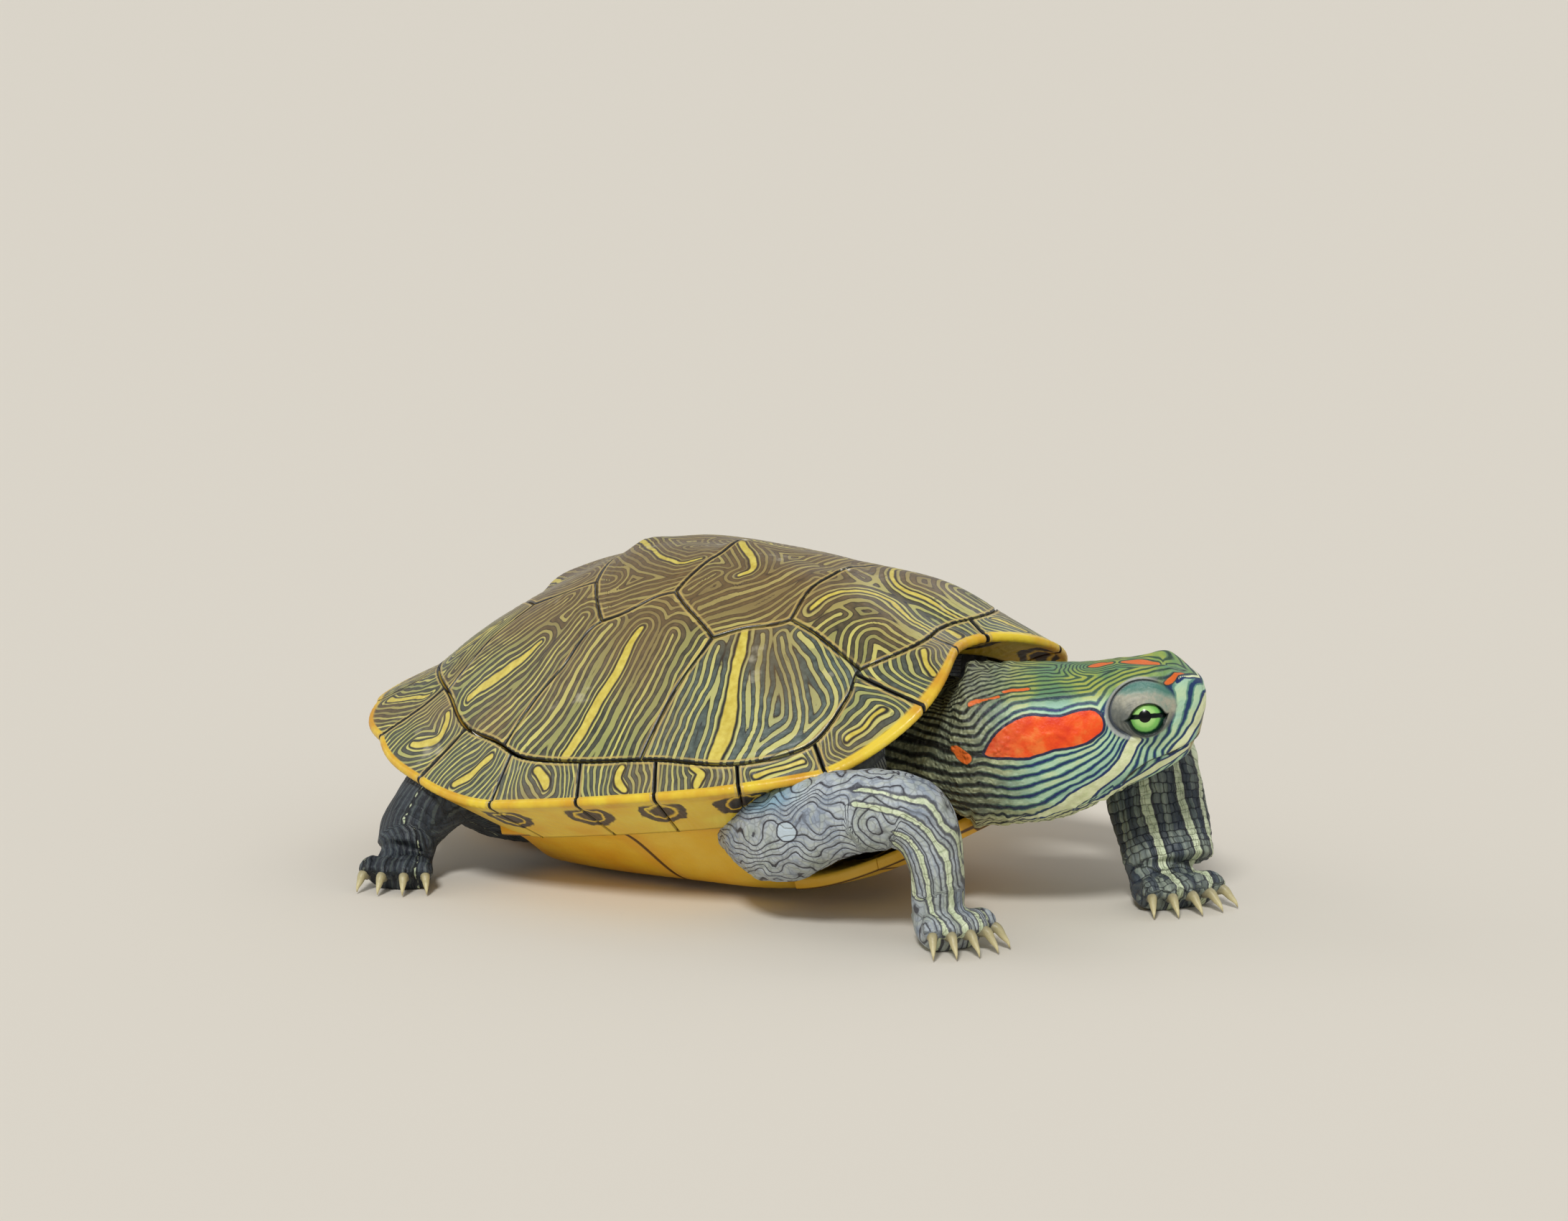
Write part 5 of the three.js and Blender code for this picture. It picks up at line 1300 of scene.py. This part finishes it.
class Finish:
    """One material. Its constants sit on the shader's own sockets."""

    def __init__(self, name, **constants):
        self.material = bpy.data.materials.new(name)
        self.material.use_nodes = True
        self.tree = self.material.node_tree
        self.shader = self.tree.nodes["Principled BSDF"]
        self.place = None
        for key, value in constants.items():
            self.shader.inputs[key.replace("_", " ")].default_value = value

    def node(self, kind, settings=None, inputs=None, output=0):
        """Any node: its settings first, then the values or links of its sockets."""
        node = self.tree.nodes.new(kind)
        for key, value in (settings or {}).items():
            if key == "stops":
                ramp = node.color_ramp
                while len(ramp.elements) < len(value):
                    ramp.elements.new(0.5)
                for element, (place, colour) in zip(ramp.elements, value):
                    element.position, element.color = place, colour
            else:
                setattr(node, key, value)
        for key, value in (inputs or {}).items():
            if isinstance(value, Number):
                self.tree.links.new(value.socket, node.inputs[key])
            else:
                node.inputs[key].default_value = value
        return Number(self, node.outputs[output])

    def field(self, name):
        """A number that the mesh carries at each point."""
        return self.node("ShaderNodeAttribute", {"attribute_name": name}, output="Fac")

    def where(self):
        """Places in the piece's own coordinates."""
        self.place = self.place or self.node("ShaderNodeTexCoord", output="Object")
        return self.place

    def noise(self, size, detail=2.0):
        """Soft noise about 0.5 whose lumps are some size in millimetres."""
        return self.node("ShaderNodeTexNoise", None,
                         {"Vector": self.where(), "Scale": 1000 / size, "Detail": detail})

    def cells(self, size, feature="F1"):
        """Distances within cells of some size in millimetres."""
        return self.node("ShaderNodeTexVoronoi", {"feature": feature},
                         {"Vector": self.where(), "Scale": 1000 / size}, output="Distance")

    def blend(self, factor, a, b):
        """One colour over another."""
        return self.node("ShaderNodeMix", {"data_type": "RGBA"}, {0: factor, 6: a, 7: b}, output=2)

    def ramp(self, value, *stops):
        """Colours in hex digits by the values at which they stand."""
        return self.node("ShaderNodeValToRGB", {"stops": [(at, paint(text)) for at, text in stops]}, {0: value})

    def finish(self, colour, rough=None, height=None, distance=0.0002, strength=1.0, coat=None):
        """Connects what varies. The bump's height is in shares of a distance in metres."""
        links = {"Base Color": colour, "Roughness": rough, "Coat Weight": coat}
        if height is not None:
            links["Normal"] = self.node("ShaderNodeBump", None, {"Strength": strength, "Distance": distance,
                                                                 "Height": height})
        for key, value in links.items():
            if value is not None:
                self.tree.links.new(value.socket, self.shader.inputs[key])
        return self.material


def back_finish():
    """The carapace: tan and yellow lines with thin dark outlines on brown, cooler low down, the ground darker and
    more olive towards the rim and on the rear plates as painted shade, bold yellow bars, a bright rim, ringed dark
    blotches on yellow beneath, a few pale scratches, dark seams with a painted highlight along the plates' edges
    beside them, and a painted highlight on the keel's knobs."""
    f = Finish("shell_back", IOR=1.5, Coat_Roughness=0.12)
    phase, bar, border, across = f.field("phase"), f.field("bar"), f.field("border"), f.field("across")
    warm, cool, blotch = f.field("warm"), f.field("cool"), f.field("blotch")
    broad, fine = f.noise(7, 3), f.noise(1.1, 3)
    count = phase + (fine - 0.5) * 0.14
    middle = (count.fraction() - 0.5).size() * 2
    bright = ((phase + 0.5).math("FLOOR") * 0.618 + broad * 0.6).fraction()
    # Where the warmth falls off, low down and on the rear plates, the darker olive ground, ink and lines are painted
    # shade.
    ground = f.blend(warm.ease(0.0, 0.9), f.ramp(fine, (0.3, "2b2d1a"), (0.7, "464428")),
                     f.ramp(fine, (0.3, "54401e"), (0.7, "7a5e32")))
    ground = f.blend(cool, ground, f.ramp(fine, (0.3, "36423e"), (0.7, "5f6c64")))
    line = f.blend(warm.ease(0.0, 0.9), f.ramp(bright, (0.1, "8f9350"), (0.5, "aaa858"), (0.9, "cfc867")),
                   f.ramp(bright, (0.1, "94804a"), (0.5, "ab9656"), (0.9, "bfae64")))
    line = f.blend(cool * 0.5, line, paint("bdbd80"))
    ink = f.blend(warm.ease(0.1, 0.9), paint("1a1a12"), paint("402e18"))
    colour = f.blend(middle.ease(0.32, 0.50), ground, ink)
    colour = f.blend(middle.ease(0.52, 0.70), colour, line)
    colour = f.blend(warm.ease(0.3, 0.9) * broad.ease(0.2, 0.6) * 0.5, colour, paint("665330"))
    colour = f.blend(bar.ease(0.75, 0.4), colour, ink)
    colour = f.blend(bar.ease(0.26, 0.0), colour, f.ramp(fine, (0.3, "c3ad3c"), (0.7, "dccb5c")))
    rim = f.field("rim")
    colour = f.blend((rim * broad.ease(0.1, 0.35)).most(rim.ease(1.0, 1.8)), colour,
                     f.ramp(broad, (0.35, "d39a1a"), (0.6, "e8cb36")))
    beneath = across.ease(1.02, 1.1)
    belly = f.ramp(broad, (0.3, "e4b420"), (0.7, "ecd23c"))
    smudged = blotch + (fine - 0.5) * 0.35
    mark = smudged.ease(-0.3, -0.48).most(smudged.size().ease(0.28, 0.16) * broad.ease(0.1, 0.3))
    under = f.blend(mark, belly, f.ramp(fine, (0.3, "1c130a"), (0.7, "463010")))
    colour = f.blend(beneath, colour, under)
    scratch = f.noise(9, 8).ease(0.64, 0.72) * f.noise(2.5, 2).ease(0.45, 0.6)
    colour = f.blend(scratch * 0.4, colour, paint("cfc6ac"))
    top = 1 - beneath
    # A painted highlight along the top of each plate's edge, beside the dark seam.
    lit = border.ease(0.8, 0.5) * border.ease(0.3, 0.45) * top * broad.ease(0.3, 0.5) * 0.85
    colour = f.blend(lit, colour, paint("c0a65c"))
    colour = f.blend(border.ease(0.34, 0.18) * (top * 0.5 + 0.5), colour, paint("14120e"))
    # A painted highlight on the tips of the keel's knobs; the same mask also raises them in the bump.
    flake = f.field("flake") + (f.noise(1.0, 4) - 0.5) * 1.2
    colour = f.blend(flake.ease(0.85, 1.05) * 0.85, colour, paint("d8d2c0"))
    height = middle.ease(0.2, 0.9) * 0.2 + fine * 0.35 + f.noise(0.4, 2) * 0.25 + flake.ease(0.5, 0.8)
    return f.finish(colour, rough=0.42 - broad * 0.14 + fine * 0.1, height=height, distance=0.00012,
                    coat=broad * 0.3)


def belly_finish():
    """The plastron: clouded yellow, deeper at the edges, with thin brown seams and a ringed dark mark on
    each half of a plate."""
    f = Finish("shell_belly", IOR=1.5)
    border, blotch = f.field("border"), f.field("blotch")
    broad, fine = f.noise(12, 3), f.noise(1.0, 3)
    colour = f.ramp(broad, (0.3, "eaae1a"), (0.52, "f0c22e"), (0.75, "f4d252"))
    colour = f.blend(border.ease(3.5, 0.8) * 0.35, colour, paint("e0901a"))
    rings = ((blotch + (fine - 0.5) * 0.4) * 0.55).fraction()
    spot = f.blend((rings - 0.5).size().ease(0.2, 0.3), paint("35240f"), paint("80591d"))
    colour = f.blend((blotch + (broad - 0.5) * 2).ease(0.3, -0.1), colour, spot)
    colour = f.blend(border.ease(0.45, 0.2), colour, paint("5a3a14"))
    return f.finish(colour, rough=0.38 + fine * 0.12, height=fine * 0.5 + broad, distance=0.0002)


def head_finish():
    """The head and neck: pale and navy lines over blue-green, greener on the crown and greyer and granular on the
    neck, a pale throat, the red ear patch with its navy outline, pale stripes, orange streaks, grey lids with painted
    shade below, a painted highlight above and painted shade in the crease round them, and a tan beak."""
    f = Finish("skin_head", IOR=1.45)
    rear, phase, crown = f.field("rearward"), f.field("phase"), f.field("crown")
    broad, fine = f.noise(5, 3), f.noise(0.9, 3)
    rough = (fine - 0.5) * 0.2
    middle = ((phase + rough).fraction() - 0.5).size() * 2
    pale = f.blend(crown, f.ramp(broad, (0.35, "9cc6b2"), (0.5, "b6d8b4"), (0.65, "ccdcaa")),
                   f.ramp(broad, (0.38, "5f8a62"), (0.5, "7b9a52"), (0.62, "a3ac4c")))
    pale = f.blend(rear, pale, f.ramp(broad, (0.35, "7f8670"), (0.65, "a9ad86")))
    soft = f.blend(crown.most(rear), f.ramp(broad, (0.35, "4f8276"), (0.65, "6f9c88")),
                   f.blend(rear, paint("567052"), paint("4d5648")))
    navy = f.blend(crown, f.ramp(broad, (0.35, "0c2a68"), (0.65, "183c5e")),
                   f.ramp(broad, (0.4, "1e3c34"), (0.6, "3a5436")))
    navy = f.blend(rear, navy, paint("24241f"))
    colour = f.blend(middle.ease(0.4, 0.58), pale, soft)
    colour = f.blend(middle.ease(0.62, 0.8), colour, navy)
    granules = f.cells(0.85)
    colour = f.blend(rear * granules.ease(0.35, 0.7) * 0.35, colour, paint("2b2d26"))
    throat = f.field("throat")
    colour = f.blend(throat * 0.75, colour, f.blend(middle.ease(0.62, 0.78), paint("d2d29c"), paint("454838")))
    edge = f.field("pale") + rough
    colour = f.blend(edge.ease(0.58, 0.38), colour, navy)
    stripe = f.blend(rear, f.ramp(fine, (0.3, "dbe5ae"), (0.7, "eef2c8")), paint("b9b78c"))
    colour = f.blend(edge.ease(0.14, -0.02), colour, stripe)
    red = f.field("red") + rough
    colour = f.blend(red.ease(0.62, 0.42), colour, f.blend(rear, paint("1b2448"), paint("2a2634")))
    scarlet = f.ramp(f.noise(2.6, 4) + (broad - 0.5) * 0.5, (0.3, "e43806"), (0.5, "f65208"), (0.72, "f68838"))
    scarlet = f.blend(rear * 0.6, scarlet, f.ramp(fine, (0.3, "b8441c"), (0.7, "d98a52")))
    colour = f.blend(red.ease(0.12, -0.02), colour, scarlet)
    orange = f.field("orange") + rough
    colour = f.blend(orange.ease(0.3, 0.18) * 0.7, colour, paint("2f3a20"))
    colour = f.blend(orange.ease(0.12, -0.02), colour, paint("de6a24"))
    colour = f.blend((f.field("beak") + rough).ease(0.0, 0.5), colour,
                     f.ramp(fine, (0.3, "a39a68"), (0.7, "c0b684")))
    colour = f.blend(f.field("mouth").ease(0.36, 0.14), colour, paint("34382a"))
    lid, crease = f.field("lid"), f.field("crease")
    # The lids' grey runs from darker below to paler above: painted shade on the lower lids and a painted highlight
    # higher up, the greener top of the lids being their own colour.
    tone = f.field("lid_tone") + (broad - 0.5) * 1.1 + (fine - 0.5) * 0.9
    grey = f.ramp(tone * 0.5, (0.05, "666a64"), (0.24, "828378"), (0.46, "aaa794"), (0.66, "83998a"),
                  (0.95, "4c7c70"))
    colour = f.blend(lid.ease(1.17, 1.08) * crease, colour, paint("a9aca8"))
    colour = f.blend(lid.ease(1.06, 0.9), colour, grey)
    # Painted shade: a dark ring in the crease round the lids, strongest behind and below where the crease is deepest.
    colour = f.blend(lid.ease(1.06, 1.02) * lid.ease(0.93, 0.99) * (crease * 0.85 + 0.04), colour, paint("26303e"))
    colour = f.blend(f.field("opening").ease(0.34, 0.14), colour, paint("10201a"))
    height = fine * 0.5 + f.noise(0.35, 2) * 0.35 + granules.ease(0.7, 0.0) * rear * 1.2
    return f.finish(colour, rough=0.42 + fine * 0.14, height=height, distance=0.0002)


def limb_finish():
    """The legs, trunk and tail: lavender grey with thin dark wavy lines and a fine net, lengthwise pale stripes, dark
    joints round the scales where there are scales, one large pale scale, and a blue patch beside the neck; painted
    shade turns every colour to a darker copy on the parts under the shell."""
    f = Finish("skin_limbs", IOR=1.45)
    row, col, stripe, dark = f.field("row"), f.field("col"), f.field("stripe"), f.field("dark")
    scaly, phase = f.field("scaly"), f.field("phase")
    broad, fine = f.noise(5, 3), f.noise(0.9, 3)
    rough = fine - 0.5
    shifted = (col + (row.math("FLOOR") * 0.5).fraction()).fraction()
    x, y = (shifted - 0.5).size() * 2, (row.fraction() - 0.5).size() * 2
    scale = 1 - (x ** 4 + y ** 4)
    base = f.ramp(broad, (0.35, "8f9aa8"), (0.5, "b0b8be"), (0.65, "a0a8a2"))
    base = f.blend(scaly * 0.8, base, f.ramp(broad, (0.35, "66766e"), (0.65, "98a490")))
    # Painted shade: where the field dark is high, darker copies of the ground, ink, lines and cells stand in for the
    # shadow under the shell.
    base = f.blend(dark, base, f.ramp(broad + rough * 0.5, (0.35, "171b22"), (0.65, "3a424a")))
    ink = f.blend(dark, paint("3a3a42"), paint("0e1218"))
    middle = ((phase + rough * 0.16).fraction() - 0.5).size() * 2
    colour = f.blend(middle.ease(0.3, 0.12) * 0.3, base, f.blend(dark, paint("c5cbb4"), paint("6c7870")))
    wavy = middle.ease(0.76, 0.92) * broad.ease(0.25, 0.45)
    net = f.cells(1.5, "DISTANCE_TO_EDGE").ease(0.1, 0.03) * 0.3
    colour = f.blend(wavy.most(net) * (1 - scaly * 0.6) * (1 - dark * 0.5), colour, ink)
    colour = f.blend(scaly * (scale + rough * 0.3).ease(0.22, 0.02) * 0.8, colour, ink)
    cell = ((row.math("FLOOR") * 0.07 + col.math("FLOOR") * 0.61).fraction() - 0.5).size() * 2
    colour = f.blend(cell.ease(0.45, 0.6) * scaly * scaly * 0.75, colour,
                     f.blend(dark, paint("243048"), paint("181e2a")))
    edge = stripe + rough * 0.3
    colour = f.blend(edge.ease(0.42, 0.22) * 0.85, colour, ink)
    wrinkle = ((row * 1.6).fraction() - 0.5).size() * 2
    bold = f.ramp(fine, (0.3, "bcc8a4"), (0.7, "dce4c4"))
    colour = f.blend(edge.ease(0.1, -0.05), colour, f.blend(wrinkle.ease(0.8, 0.95) * 0.5, bold, paint("7f8a68")))
    pearl = f.field("pearl") + rough * 0.3
    colour = f.blend(pearl.ease(1.75, 1.6), colour, ink)
    colour = f.blend(pearl.ease(1.5, 1.35), colour, paint("bccad2"))
    colour = f.blend(f.field("blue") * 0.75, colour,
                     f.blend(middle.ease(0.75, 0.9), paint("8ab4cc"), paint("2f4a60")))
    height = fine * 0.5 + f.noise(0.35, 2) * 0.35 + scaly * scale.ease(-0.2, 0.6) + middle.ease(0.95, 0.6) * 0.7
    return f.finish(colour, rough=0.46 + fine * 0.14, height=height, distance=0.0002)


def eye_finish():
    """A wet eye: lime iris, paler round the pupil, with a black bar through it and a dark rim."""
    f = Finish("eye_wet", Roughness=0.2, IOR=1.3, Coat_Weight=0.1, Coat_Roughness=0.1)
    x, z, front = f.field("gaze_x"), f.field("gaze_z"), f.field("front")
    far = (x * x + z * z) ** 0.5
    fibres = f.noise(0.5, 3)
    iris = f.ramp(far + (fibres - 0.5) * 0.3, (0.0, "e6f2c4"), (0.9, "dcefc0"), (1.25, "a4d67c"))
    outer = f.blend((far + (fibres - 0.5) * 0.5).ease(1.3, 1.95), iris, paint("7cc060"))
    colour = f.blend((far + (fibres - 0.5) * 0.2).ease(2.1, 2.5), outer, paint("123c2a"))
    bar = (z.size() + (fibres - 0.5) * 0.14).ease(0.44, 0.3)
    colour = f.blend(bar * far.ease(0.3, 0.5), colour, paint("06140f"))
    colour = f.blend(far.ease(0.99, 0.92), colour, paint("010203"))
    return f.finish(f.blend(front.ease(0.4, 0.0), colour, paint("1b1d1c")))


def claw_finish():
    """Horn, grey at the root and paler towards the tip."""
    f = Finish("claw_horn", IOR=1.5, Coat_Roughness=0.2)
    tip, fine = f.field("tip"), f.noise(0.6, 3)
    colour = f.ramp(tip + (fine - 0.5) * 0.2, (0.1, "7c7660"), (0.35, "b0a67c"), (0.8, "d2c798"), (1.0, "a89a6c"))
    return f.finish(colour, rough=0.35 + fine * 0.15, height=fine, distance=0.0001)


# ---------------------------------------------------------------- shell


def ride(piece, material, slot, *nodes):
    """Gives a piece its material, its body and the nodes that it stands for."""
    piece.data.materials.append(material)
    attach(piece, "root")
    if nodes:
        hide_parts(*nodes)
    return piece


def add_shell():
    """The back's plates, the rim's on both sides with the nuchal before them, and the belly's bands."""
    back, belly = back_finish(), belly_finish()

    def dome(plan):
        return lambda u, v, depth: from_shell(on_dome(*plan(u, v), depth))
    for index in range(5):
        plan, node = vertebral_plan(index), f"vertebral_{index + 1}"
        piece = add_plate("plate_" + node, dome(plan), 100,
                          shell_fields(plan, VERTEBRAL_LINES[index], 20 + index, 0.85, 0.1), back_relief)
        ride(piece, back, "carapace", node)
    for side, word in ((1, "left"), (-1, "right")):
        for index in range(4):
            plan, node = costal_plan(index, side), f"costal_{word}_{index + 1}"
            # Each costal further back is a little less warm: painted shade towards the rear of the shell.
            piece = add_plate("plate_" + node, dome(plan), 100,
                              shell_fields(plan, COSTAL_LINES[index], 40 + 5 * index + side,
                                           0.85 - 0.07 * index, COSTAL_COOL[index]), back_relief)
            ride(piece, back, "carapace", node)
        for index in range(12):
            node = f"marginal_{word}_{index + 1}"
            seams = (INNER_SEAMS[index:index + 2], RIM_SEAMS[index:index + 2])
            piece = add_marginal("plate_" + node, seams, side, 100 + 3 * index + side, RIM_BARS[index])
            ride(piece, back, "rim", node)
    seams = ((-INNER_SEAMS[0], INNER_SEAMS[0]), (-RIM_SEAMS[0], RIM_SEAMS[0]))
    ride(add_marginal("plate_nuchal", seams, 1, 300, RIM_BARS[12]), back, "rim", "nuchal")
    for index, word in enumerate(BELLY_PLATES):
        plan, bridged = belly_plan(index)

        def surface(u, v, depth):
            x, y = plan(u, v)
            return from_shell(belly_surface(x, y, depth, bridged))

        def fields(u, v):
            x, y = plan(u, v)
            half = bridge_half(x) if bridged else lobe_half(x)
            share = np.abs(y) / half
            places = np.stack([x, np.abs(y)], -1) / LENGTH
            marks = [band(places, [(seam + 0.03, 0.04, 0.02), (seam + 0.025, 0.08, 0.03)]) * LENGTH
                     for seam in BELLY_SEAMS[1:-1]]
            return {"blotch": np.minimum.reduce(marks) + 6 * ease(0.5, 0.8, share)}

        def relief(u, v, away):
            _, y = plan(u, v)
            return -0.35 * bell(y, 0.35) - 0.03 * np.sin(away * TAU / 2.1) * np.exp(-away / 9)
        piece = add_plate("plate_plastron_" + word, surface, 110, fields, relief)
        ride(piece, belly, "plastron", "plastron_" + word)


def add_flesh():
    """The skin in one piece with its two materials, the eyes, and the claws of each foot."""
    skin, claws = build_skin()
    ride(skin, head_finish(), "skin", "head", "lower_jaw", "neck", "trunk", "tail",
         *(f"{part}_{side}" for part in ("foreleg", "forefoot", "hindleg", "hindfoot") for side in ("left", "right")))
    skin.data.materials.append(limb_finish())
    eye, horn = eye_finish(), claw_finish()
    ride(add_eye(1), eye, "eye", "eye_left")
    ride(add_eye(-1), eye, "eye", "eye_right")
    for name, stations in claws.items():
        ride(add_claws(name, stations), horn, None)


add_shell()
add_flesh()

# ---------------------------------------------------------------- stage


# Each light: where it comes from, its power, and how wide it looks from the piece.
LAMPS = {
    "key": ((0.35, -0.6, 0.7), 2.0, 12),
    "fill": ((-0.7, -0.3, 0.4), 0.3, 40),
    "back": ((-0.1, 0.7, 0.6), 0.35, 40),
}


def add_stage():
    """A plain pale floor, soft lights, a pale world, and the camera."""
    scene = bpy.context.scene
    scene.view_settings.view_transform = "Standard"
    low, high = (np.array(corner) for corner in cad_box)
    middle = (low + high) / 2
    half = 12                                  # of the floor's width, in metres
    floor = bpy.data.meshes.new("floor")
    floor.from_pydata([(middle[0] + half * a, middle[1] + half * b, -0.0001)
                       for a, b in ((-1, -1), (1, -1), (1, 1), (-1, 1))], [], [(0, 1, 2, 3)])
    ground = bpy.data.objects.new("floor", floor)
    scene.collection.objects.link(ground)
    f = Finish("floor_paint", Roughness=0.9, Specular_IOR_Level=0.1)
    f.shader.inputs["Base Color"].default_value = paint("dcd6ca")
    floor.materials.append(f.material)
    world = bpy.data.worlds.new("studio")
    scene.world = world
    world.use_nodes = True
    tree = world.node_tree
    background = tree.nodes["Background"]
    background.inputs["Color"].default_value = (1, 1, 1, 1)
    # The world lights the model less than it shows itself to the camera.
    path = tree.nodes.new("ShaderNodeLightPath")
    seen = tree.nodes.new("ShaderNodeMix")
    seen.inputs[2].default_value, seen.inputs[3].default_value = 0.42, 0.86
    tree.links.new(path.outputs["Is Camera Ray"], seen.inputs[0])
    tree.links.new(seen.outputs[0], background.inputs["Strength"])
    for name, (place, power, width) in LAMPS.items():
        lamp = bpy.data.lights.new(name, "SUN")
        lamp.energy, lamp.angle = power, width * DEG
        light = bpy.data.objects.new(name, lamp)
        light.location = place
        light.rotation_mode = "QUATERNION"
        light.rotation_quaternion = (-Vector(place)).to_track_quat("-Z", "Y")
        scene.collection.objects.link(light)
    camera = bpy.data.cameras.new("camera")
    camera.sensor_width, camera.lens = 36, 88.0
    camera.shift_x, camera.shift_y = 0.0364, 0.0479
    camera.clip_start = 0.01
    eye = bpy.data.objects.new("camera", camera)
    across = np.cross([0, 0, 1], VIEW)
    across /= np.linalg.norm(across)
    above = np.cross(VIEW, across)
    c, s = np.cos(VIEW_ROLL), np.sin(VIEW_ROLL)
    columns = np.stack([c * across + s * above, c * above - s * across, VIEW], 1)
    matrix = np.eye(4)
    matrix[:3, :3] = columns
    matrix[:3, 3] = (OFFSET + SHELL_AT + VIEW_DISTANCE * VIEW) * MM
    eye.matrix_world = Matrix(matrix.tolist())
    scene.collection.objects.link(eye)
    scene.camera = eye


add_stage()
